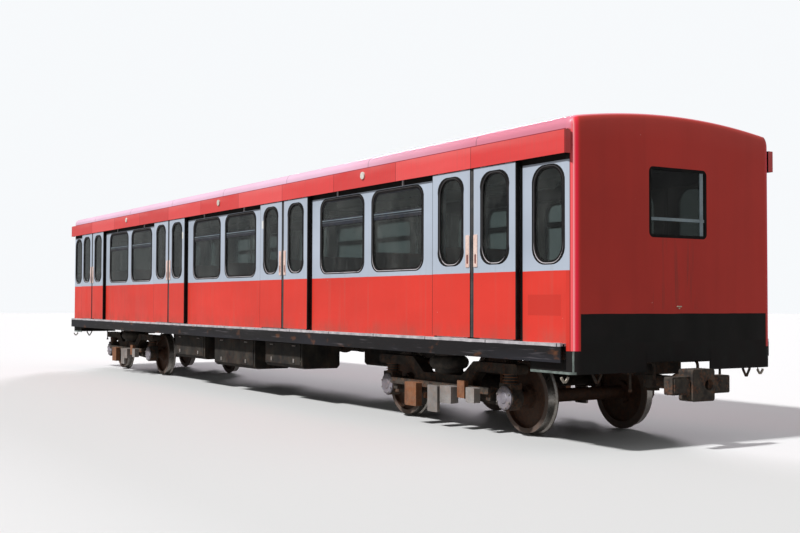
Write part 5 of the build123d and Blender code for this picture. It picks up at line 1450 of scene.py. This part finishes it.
    def sill_decks(self) -> None:
        """Galvanised sheets on the outer part of the sill's deck, bent a little at their ends."""
        piece = Piece("sill_decks")
        length, steps = 2 * self.deck_end / self.decks, 9
        bend = 0.0022 * np.abs(np.linspace(-1, 1, steps)) ** 6
        for i in range(self.decks):
            start = i * length - self.deck_end
            x = np.linspace(start + 0.004, start + length - 0.004, steps)
            for side in (1, -1):
                lift = bend * (1 + math.sin(3.1 * i + side))
                path = np.stack([x, np.full(steps, self.deck_y), FLOOR_TOP + 0.0015 + lift], 1)
                strip = sweep(path, np.tile((0.0, -1.0, 0.0), (steps, 1)), rectangle(0.032, 0.003), False)
                piece.put(strip, [(1, side, 1)])
        piece.build("car", "bare_steel", self.looks.zinc)

    def roof_gutters(self) -> None:
        """Dark sealing strips in the corner between the roof and the track covers."""
        piece = Piece("roof_gutters")
        low = (-self.gutter_end, HALF_WIDTH - 0.004, ROOF_EDGE - 0.001)
        piece.block(low, (self.gutter_end, HALF_WIDTH + 0.012, ROOF_EDGE + 0.015), 0.004, SIDES)
        piece.build("car", "window_rubber", self.looks.gutter)

    def roof_skin(self) -> None:
        """The roof's outer sheets, with fuller shoulders than the solid roof, between the end walls."""
        outer, _ = roof_outline(ROOF_EDGE)
        under = outer * (0.996, 1.0) - (0.0, 0.004)
        ring = np.concatenate([outer, under[::-1]])
        piece = Piece("roof_skin")
        piece.put(loft(np.stack([np.insert(ring, 0, x, axis=1) for x in (-ROUND_START, ROUND_START)])))
        piece.build("car", "roof_paint", self.looks.roof, True)

    def end_rims(self) -> None:
        """The rounding round each end wall, tight over the roof, and under it the corners of the apron."""
        rims, corners = Piece("end_rims"), Piece("apron_corners")
        rims.put(loft(rim_rings(*roof_outline(self.apron_top))), ENDS)
        low = np.array([(HALF_WIDTH, APRON_LOW), (HALF_WIDTH, self.apron_top)])
        corners.put(loft(rim_rings(low, low - (END_ROUND, 0.0))), QUARTERS)
        rims.build("car", "panel_paint", self.looks.end, True)
        corners.build("car", "black_paint", self.looks.apron, True)

    def aprons(self) -> None:
        """Apron plates between the corners, cut out over the coupler, and their returns along the sides."""
        piece = Piece("apron_plates")
        cut, top, back = self.apron_cut, self.apron_top, HALF_LENGTH - self.sheet
        piece.block((back, -cut - 0.004, self.cut_top), (HALF_LENGTH, cut + 0.004, top), 0.001, ENDS)
        piece.block((back, cut, APRON_LOW), (HALF_LENGTH, HALF_WIDTH - END_ROUND, top), 0.001, QUARTERS)
        low = (self.return_x, HALF_WIDTH - 0.010, APRON_LOW)
        piece.block(low, (ROUND_START, HALF_WIDTH, top), 0.001, QUARTERS)
        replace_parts(piece.build("car", "black_paint", self.looks.apron), "end_aprons")

    def end_window_bars(self) -> None:
        """A rail low across each end window and a wider strip up one side of it, on the pane."""
        piece = Piece("end_window_bars")
        x, z = self.end_bar, self.end_window_z
        half_wide, half_tall = self.end_window[0] / 2, self.end_window[1] / 2
        reach, top, rail, strip = half_wide - 0.02, half_tall - 0.02, z - 0.180, half_wide - 0.078
        piece.block((x, -reach, rail - 0.017), (x + 0.007, reach, rail + 0.017), 0.002, ENDS)
        piece.block((x, strip - 0.026, z - top), (x + 0.008, strip + 0.026, z + top), 0.002, ENDS)
        piece.build("car", "pole_steel", self.looks.edge)

    def end_straps(self) -> None:
        """Bent straps under the aprons, at each corner and further in, and a thin rod beside the first."""
        hooks, loops = Piece("end_hooks"), Piece("end_loops")
        for (x, y), half, piece in ((self.hook_place, self.hook, hooks), (self.loop_place, self.loop, loops)):
            bend = np.array(half)
            bend = np.concatenate([bend * (-1.0, 1.0), bend[::-1]])
            path = np.insert(bend + (y, 0.0), 0, x, axis=1)
            across = np.cross(np.gradient(path, axis=0), (1.0, 0.0, 0.0))
            across = across / np.linalg.norm(across, axis=1, keepdims=True)
            piece.put(sweep(path, across, rectangle(0.022, 0.018), False), QUARTERS)
        loops.put(tube(np.array([(8.895, 1.438, 0.790), (8.895, 1.438, 0.874)]), 0.006), QUARTERS)
        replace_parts(hooks.build("car", "bare_steel", self.looks.strap), "end_fittings")
        loops.build("car", "frame_steel", self.looks.frame)

    def end_pipes(self) -> None:
        """Pipe ends that bend down under the aprons in a quarter circle, each with a collar at its foot."""
        piece = Piece("end_pipes")
        turn = np.linspace(0.0, math.pi / 2, 6)
        for y, foot, radius in ((0.330, 0.667, 0.017), (0.680, 0.617, 0.014)):
            elbow = np.stack([8.946 + 0.060 * np.sin(turn), np.full(6, y), 0.870 + 0.060 * np.cos(turn)], 1)
            path = np.concatenate([[(8.78, y, 0.930), (8.90, y, 0.930)], elbow, [(9.006, y, foot)]])
            collar = np.array([(9.006, y, foot + 0.030), (9.006, y, foot)])
            for line, size in ((path, radius), (collar, 1.5 * radius)):
                piece.put(tube(line, size, 12), QUARTERS)
        piece.build("car", "frame_steel", self.looks.frame, True)

    def end_sockets(self) -> None:
        """A small cream socket under its cap on each end wall."""
        piece = Piece("end_socket")
        piece.block((9.048, -0.033, 1.514), (9.064, 0.033, 1.526), 0.003, ENDS)
        piece.block((9.048, -0.008, 1.494), (9.060, 0.008, 1.508), 0.003, ENDS)
        piece.build("car", "bare_steel", self.looks.cream)

    def build(self) -> None:
        """Dress the body and add its fittings."""
        for step in (self.dress, self.window_beads, self.vents, self.gap_brackets, self.sill_decks,
                     self.roof_gutters, self.roof_skin, self.end_rims, self.aprons, self.end_window_bars,
                     self.end_straps, self.end_pipes, self.end_sockets):
            step()


@dataclass
class Cabin:
    """What shows of the cabin through the glass."""

    looks: Palette
    rail_y: float = 0.440
    rail_z: float = 3.060
    rail_rise: float = 0.120
    rail_radius: float = 0.015
    rail_half: float = 1.800

    def dress(self) -> None:
        """Give the cabin's nodes their finishes."""
        Skin("ceiling").dress(self.looks.ceiling)
        Skin("screens").dress(self.looks.screen)
        Skin("grab_poles").dress(self.looks.pole)
        benches = Skin("benches").dress(self.looks.vinyl)
        benches.dress(self.looks.frame, benches.z < 1.45)

    def rails(self) -> None:
        """Rails under the ceiling, one on each side of the aisle in each bay, that rise at both ends."""
        piece = Piece("ceiling_rails")
        steps, rise = 13, self.rail_rise
        for bay in BAY_X:
            x = np.linspace(bay - self.rail_half, bay + self.rail_half, steps)
            lift = np.clip(np.abs(x - bay) - self.rail_half + rise, 0.0, rise)
            path = np.stack([x, np.full(steps, self.rail_y), self.rail_z + lift], 1)
            piece.put(tube(path, self.rail_radius), SIDES)
        piece.build("car", "pole_steel", self.looks.pole, True)

    def build(self) -> None:
        """Dress the cabin and add its rails."""
        self.dress()
        self.rails()


@dataclass
class Door:
    """One leaf of a door.

    Attributes:
        looks: the finishes.
        number: the door, counted from the rear.
        hand: plus one on the left side of the car, minus one on the right.
        facing: plus one where it opens forward, minus one where it opens rearward.
    """

    looks: Palette
    number: int
    hand: int
    facing: int
    window: tuple[float, float, float] = (0.488, 1.030, 0.200)
    window_x: float = 0.4285
    window_z: float = 2.503
    inner: float = 0.037
    outer: float = 0.820
    edge_round: float = 0.010
    low: float = 1.158
    high: float = 3.081
    handle_x: float = 0.078
    slot_z: float = 2.0505
    label_place: tuple[float, float] = (0.720, 2.765)
    label_size: tuple[float, float] = (0.068, 0.1224)

    @property
    def name(self) -> str:
        """Name of the node and of its body."""
        side = "left" if self.hand > 0 else "right"
        return f"door_{self.number}_{side}_{'forward' if self.facing > 0 else 'rearward'}"

    def dress(self) -> None:
        """Give the leaf's faces their finishes."""
        looks = self.looks
        skin = Skin(self.name).dress(looks.door)
        x = self.facing * (skin.x - DOOR_X[self.number - 1])
        depth, z = self.hand * skin.y, skin.z
        nx, nout = self.facing * skin.nx, self.hand * skin.ny
        across, height = x - self.window_x, z - self.window_z
        by_window = (np.abs(across) < self.window[0] / 2) & (np.abs(height) < self.window[1] / 2)
        on_panel = (z > self.low) & (z < self.high)
        skin.dress(looks.lining, on_panel & (nout < -0.9) & (depth < LEAF_BACK + 0.0005))
        skin.dress(looks.rubber, (x > self.outer - self.edge_round) & (nx > 0.02) & on_panel)
        skin.dress(looks.nose, x < self.inner + 0.0005)
        reveal = by_window & (np.abs(nout) < 0.5) & (depth > LEAF_BACK) & (depth < LEAF_FACE)
        inwards = across * nx + height * skin.nz < 0
        rubber_face = by_window & (nout > 0.9) & (np.abs(depth - 1.558) < 0.0005)
        skin.dress(looks.rubber, (reveal & inwards) | rubber_face)
        pane = (depth > 1.5375) & (depth < 1.5465)
        skin.dress(looks.glass, by_window & pane & ((np.abs(nout) > 0.9) | ~inwards))
        skin.dress(looks.zinc, (z > self.high + 0.0001) & (depth < 1.56))
        skin.dress(looks.zinc, z < self.low - 0.0001)
        skin.dress(looks.handle, depth > LEAF_FACE + 0.0005)
        hole = (np.abs(x - self.handle_x) < 0.0155) & (np.abs(z - self.slot_z) < 0.0555)
        skin.dress(looks.slot_red, hole & (np.abs(depth - LEAF_FACE) < 0.0005))

    def fit(self, kind: str, surface: Surface, slot: str, material: bpy.types.Material,
            smooth: bool = False) -> None:
        """Add a piece to this leaf.

        Args:
            kind: end of the piece's name.
            surface: its points and faces on a right leaf that opens forward, at the middle of the car.
            slot: the record's material slot.
            material: its finish.
            smooth: whether its shading runs smoothly over its edges.
        """
        points, faces = surface
        piece = Piece(f"{self.name}_{kind}")
        points = points + (self.facing * DOOR_X[self.number - 1], 0.0, 0.0)
        piece.put((points, faces), [(self.facing, -self.hand, 1)])
        piece.build(self.name, slot, material, smooth)

    def trim(self) -> None:
        """The bright strip round the window, the rubber round it, and the lip behind the outer edge."""
        opening = Opening((self.window_x, self.window_z), *self.window)
        self.fit("bead", opening.bead(0.0015 - LEAF_FACE), "pole_steel", self.looks.bead, True)
        self.fit("rim", opening.lip(-LEAF_FACE, 2.6), "window_rubber", self.looks.rubber, True)
        x0, x1, back = self.outer - 0.030, self.outer - 0.004, LEAF_BACK
        section = np.array([(x0, back + 0.001), (x0, back - 0.003), (x1 - 0.006, back - 0.0055),
                            (x1, back - 0.003), (x1, back + 0.001)])
        path = np.array([(0.0, 0.0, self.low + 0.010), (0.0, 0.0, self.high - 0.052)])
        lip = sweep(path, np.tile((1.0, 0.0, 0.0), (2, 1)), section, False)
        self.fit("lip", lip, "window_rubber", self.looks.rubber)

    def label(self) -> None:
        """A small blank label on the outer margin: its outline in three rings, the last one drawn in."""
        outline, _ = rounded_outline(*self.label_size, 0.012, 4)
        points = np.concatenate([np.insert(spread * outline + self.label_place, 1, rise - LEAF_FACE, axis=1)
                                 for spread, rise in ((1.0, 0.0003), (1.0, -0.0006), (0.94, -0.0009))])
        count = len(outline)
        faces = ring_faces(3, count, False, True).tolist()
        faces += [list(reversed(range(count))), [2 * count + i for i in range(count)]]
        self.fit("label", (points, faces), "lamp_lens", self.looks.label)

    def build(self) -> None:
        """Dress the leaf and add its trim."""
        self.dress()
        self.trim()
        if self.name in LABELLED:
            self.label()


@dataclass
class Underfloor:
    """Beams, boxes, tanks and pipes under the floor, and the couplers."""

    looks: Palette
    pipe_y: float = 1.395
    pipe_z: float = 0.955
    pipe_radius: float = 0.011
    pipe_half: float = 3.860
    bearer_pitch: float = 1.300
    boxes: tuple[tuple[int, float, float, float], ...] = (
        (-1, -1.900, 1.500, 0.460), (-1, 0.150, 1.700, 0.520), (-1, 2.050, 1.300, 0.430),
        (1, 1.850, 1.600, 0.500), (1, -2.350, 1.100, 0.420))
    box_face: float = 1.350
    box_top: float = 0.970

    def dress(self) -> None:
        """Give the nodes under the floor their finishes."""
        Skin("underframe").dress(self.looks.frame)
        Skin("equipment_boxes").dress(self.looks.box)
        Skin("air_tanks").dress(self.looks.frame)
        for place in ("front", "rear"):
            Skin(f"coupler_{place}").dress(self.looks.cast)

    def pipes(self) -> None:
        """Two pipes along each side between the bogies, with a clip under each bearer."""
        piece = Piece("floor_pipes")
        for y, z in ((self.pipe_y, self.pipe_z), (self.pipe_y + 0.030, self.pipe_z + 0.020)):
            path = np.array([(-self.pipe_half, y, z), (self.pipe_half, y, z)])
            piece.put(tube(path, self.pipe_radius), SIDES)
        for i in range(-3, 4):
            x = i * self.bearer_pitch
            low = (x - 0.015, self.pipe_y - 0.020, self.pipe_z - 0.016)
            piece.block(low, (x + 0.015, self.pipe_y + 0.045, 1.015), 0.004, SIDES)
        piece.build("car", "frame_steel", self.looks.frame, True)

    def latches(self) -> None:
        """Latches and hinges on the lids of the boxes."""
        piece = Piece("box_latches")
        face = self.box_face
        for side, x, length, height in self.boxes:
            top, bottom = self.box_top - 0.085, self.box_top - height + 0.085
            for middle in (x - 0.30 * length, x + 0.30 * length):
                low = (middle - 0.022, face - 0.002, bottom)
                piece.block(low, (middle + 0.022, face + 0.012, bottom + 0.060), 0.003, [(1, side, 1)])
                hinge = np.array([(middle - 0.055, face + 0.004, top), (middle + 0.055, face + 0.004, top)])
                piece.put(tube(hinge, 0.009), [(1, side, 1)])
        piece.build("car", "bare_steel", self.looks.bracket)

    def build(self) -> None:
        """Dress the nodes and add the pipes and latches."""
        self.dress()
        self.pipes()
        self.latches()


@dataclass
class Bogie:
    """One bogie with its two wheelsets."""

    looks: Palette
    place: str
    lid_bolts: int = 8
    bolt_circle: float = 0.118
    bolt_radius: float = 0.0115
    bolt_height: float = 0.021
    bolt_sunk: float = 0.010
    shoe_face: float = 1.1952

    @property
    def middle(self) -> float:
        """X of its centre pin."""
        return BOGIE_X if self.place == "front" else -BOGIE_X

    def dress(self) -> None:
        """Give the bogie's nodes their finishes."""
        looks = self.looks
        gear = Skin(f"bogie_frame_{self.place}").dress(looks.frame)
        x, depth = np.abs(gear.x - self.middle), np.abs(gear.y)
        blocks = (x > 0.78) & (x < 0.885) & (depth < 0.83) & (depth > 0.70) & (gear.z < 0.72)
        gear.dress(looks.rusty, blocks)
        boxes = Skin(f"axle_boxes_{self.place}").dress(looks.cast)
        x, depth, z = boxes.x - self.middle, np.abs(boxes.y), boxes.z
        from_axle = np.abs(x) - AXLE_X
        boxes.dress(looks.lid, (depth > 1.1102) & (np.hypot(from_axle, z - AXLE_Z) < 0.140))
        springs = (z > 0.6215) & (np.abs(from_axle) < 0.095) & (depth < 1.13)
        boxes.dress(looks.spring, springs)
        boxes.dress(looks.rusty, springs & (np.hypot(from_axle, depth - 1.030) > 0.074))
        for material, low, high in ((looks.rusty, -0.605, -0.325), (looks.bracket, -0.145, 0.085),
                                    (looks.bracket, 0.235, 0.485), (looks.rusty, 0.535, 0.695),
                                    (looks.bracket, 0.755, 0.935)):
            boxes.dress(material, (depth > self.shoe_face) & (x > low) & (x < high))
        Skin(f"air_springs_{self.place}").dress(looks.spring)
        for which, way in (("outer", 1), ("inner", -1)):
            axle = self.middle + math.copysign(AXLE_X, way * self.middle)
            name = f"{self.place}_{which}"
            Skin(f"wheelset_{name}").dress(WheelSteel(axle).make(f"wheel_steel_{name}"))

    def bolts(self) -> None:
        """Bolt heads at even angles round the lids of the axle boxes."""
        piece = Piece(f"lid_bolts_{self.place}")
        for axle in (self.middle + AXLE_X, self.middle - AXLE_X):
            for i in range(self.lid_bolts):
                angle = 2 * math.pi * (i + 0.5) / self.lid_bolts
                place = np.array([axle + self.bolt_circle * math.cos(angle), LID_FACE - self.bolt_sunk,
                                  AXLE_Z + self.bolt_circle * math.sin(angle)])
                piece.put(bolt(place, (0, 1, 0), self.bolt_radius, self.bolt_height), SIDES)
        piece.build(f"bogie_{self.place}", "cast_parts", self.looks.bracket)

    def build(self) -> None:
        """Dress the bogie and add its bolts."""
        self.dress()
        self.bolts()


@dataclass
class Studio:
    """Floor, light and camera."""

    lens: float = 50.0
    sensor: float = 36.0
    far: float = 500.0
    spot: tuple[float, float, float] = (17.695, -8.961, 1.566)
    yaw: float = 2.5841360629
    pitch: float = 0.0313909779
    roll: float = 0.003189194
    floor_half: float = 120.0
    key: float = 3.66
    fill: float = 0.25
    rim: float = 2.0
    sky_light: float = 0.26
    sky_seen: float = 0.97
    sky_through: float = 0.22

    def camera(self) -> None:
        """Stand the camera where the photograph was taken from.

        Its forward, right and up directions come from the yaw and pitch, and the last two turn by the roll.
        """
        cos_p, sin_p = math.cos(self.pitch), math.sin(self.pitch)
        forward = np.array([cos_p * math.cos(self.yaw), cos_p * math.sin(self.yaw), sin_p])
        level = np.array([math.sin(self.yaw), -math.cos(self.yaw), 0.0])
        upright = np.cross(level, forward)
        right = math.cos(self.roll) * level + math.sin(self.roll) * upright
        up = -math.sin(self.roll) * level + math.cos(self.roll) * upright
        data = bpy.data.cameras.new("camera")
        data.lens, data.sensor_width, data.clip_end = self.lens, self.sensor, self.far
        camera = bpy.data.objects.new("camera", data)
        turn = np.eye(4)
        turn[:3, :3] = np.stack([right, up, -forward], 1)
        turn[:3, 3] = self.spot
        camera.matrix_world = Matrix(turn.tolist())
        bpy.context.scene.collection.objects.link(camera)
        bpy.context.scene.camera = camera

    def lamps(self) -> None:
        """A sun over the right side of the car, a broad fill from the left, and one that grazes the roof."""
        for name, strength, spread, tilt, turn, colour in (
            ("key", self.key, 4.0, 45, -1, (1.0, 1.0, 1.0)),
            ("fill", self.fill, 60.0, 55, 150, (1.0, 1.0, 1.0)),
            ("rim", self.rim, 12.0, 73, -122, (1.0, 0.93, 1.0)),
        ):
            data = bpy.data.lights.new(name, "SUN")
            data.energy, data.color, data.angle = strength, colour, math.radians(spread)
            lamp = bpy.data.objects.new(name, data)
            lamp.rotation_euler = (math.radians(tilt), 0.0, math.radians(turn))
            bpy.context.scene.collection.objects.link(lamp)

    def sky(self) -> None:
        """A pale sky that the camera sees brighter than it lights the car, and glass lets through in part."""
        tree = NodeTree(bpy.data.worlds.new("studio"))
        path = tree.node("ShaderNodeLightPath")
        through = Channel(tree, path.outputs["Is Transmission Ray"]) * self.sky_through
        seen = through + Channel(tree, path.outputs["Is Camera Ray"])
        strength = seen.ramp(0.0, 1.0, self.sky_light, self.sky_seen)
        sockets = {"Color": (0.96, 0.98, 1.0), "Strength": strength}
        background = tree.node("ShaderNodeBackground", sockets=sockets)
        tree.node("ShaderNodeOutputWorld", sockets={"Surface": background.outputs[0]})
        bpy.context.scene.world = tree.owner

    def floor(self) -> None:
        """A plain pale floor, which counts as darker where it only throws light back."""
        half = self.floor_half
        mesh = bpy.data.meshes.new("floor")
        corners = [(-half, -half, 0.0), (half, -half, 0.0), (half, half, 0.0), (-half, half, 0.0)]
        mesh.from_pydata(corners, [], [(0, 1, 2, 3)])
        recipe = Recipe("floor")
        seen = Channel(recipe, recipe.node("ShaderNodeLightPath").outputs["Is Camera Ray"])
        colour = Tint(recipe, (0.30, 0.29, 0.28)).under((0.72, 0.72, 0.715), seen)
        mesh.materials.append(recipe.finish(colour, 0.9))
        plane = bpy.data.objects.new("floor", mesh)
        bpy.context.scene.collection.objects.link(plane)

    def build(self) -> None:
        """Set up camera, lamps, sky and floor."""
        bpy.context.scene.view_settings.view_transform = "Standard"
        self.camera()
        self.lamps()
        self.sky()
        self.floor()
        log.info("studio")


def main() -> None:
    logging.basicConfig(level=logging.INFO, format="%(message)s")
    Studio().build()
    looks = Palette()
    Shell(looks).build()
    Cabin(looks).build()
    for number in range(1, 5):
        for hand in (1, -1):
            for facing in (1, -1):
                Door(looks, number, hand, facing).build()
    Underfloor(looks).build()
    for place in ("front", "rear"):
        Bogie(looks, place).build()


if __name__ == "__main__":
    main()
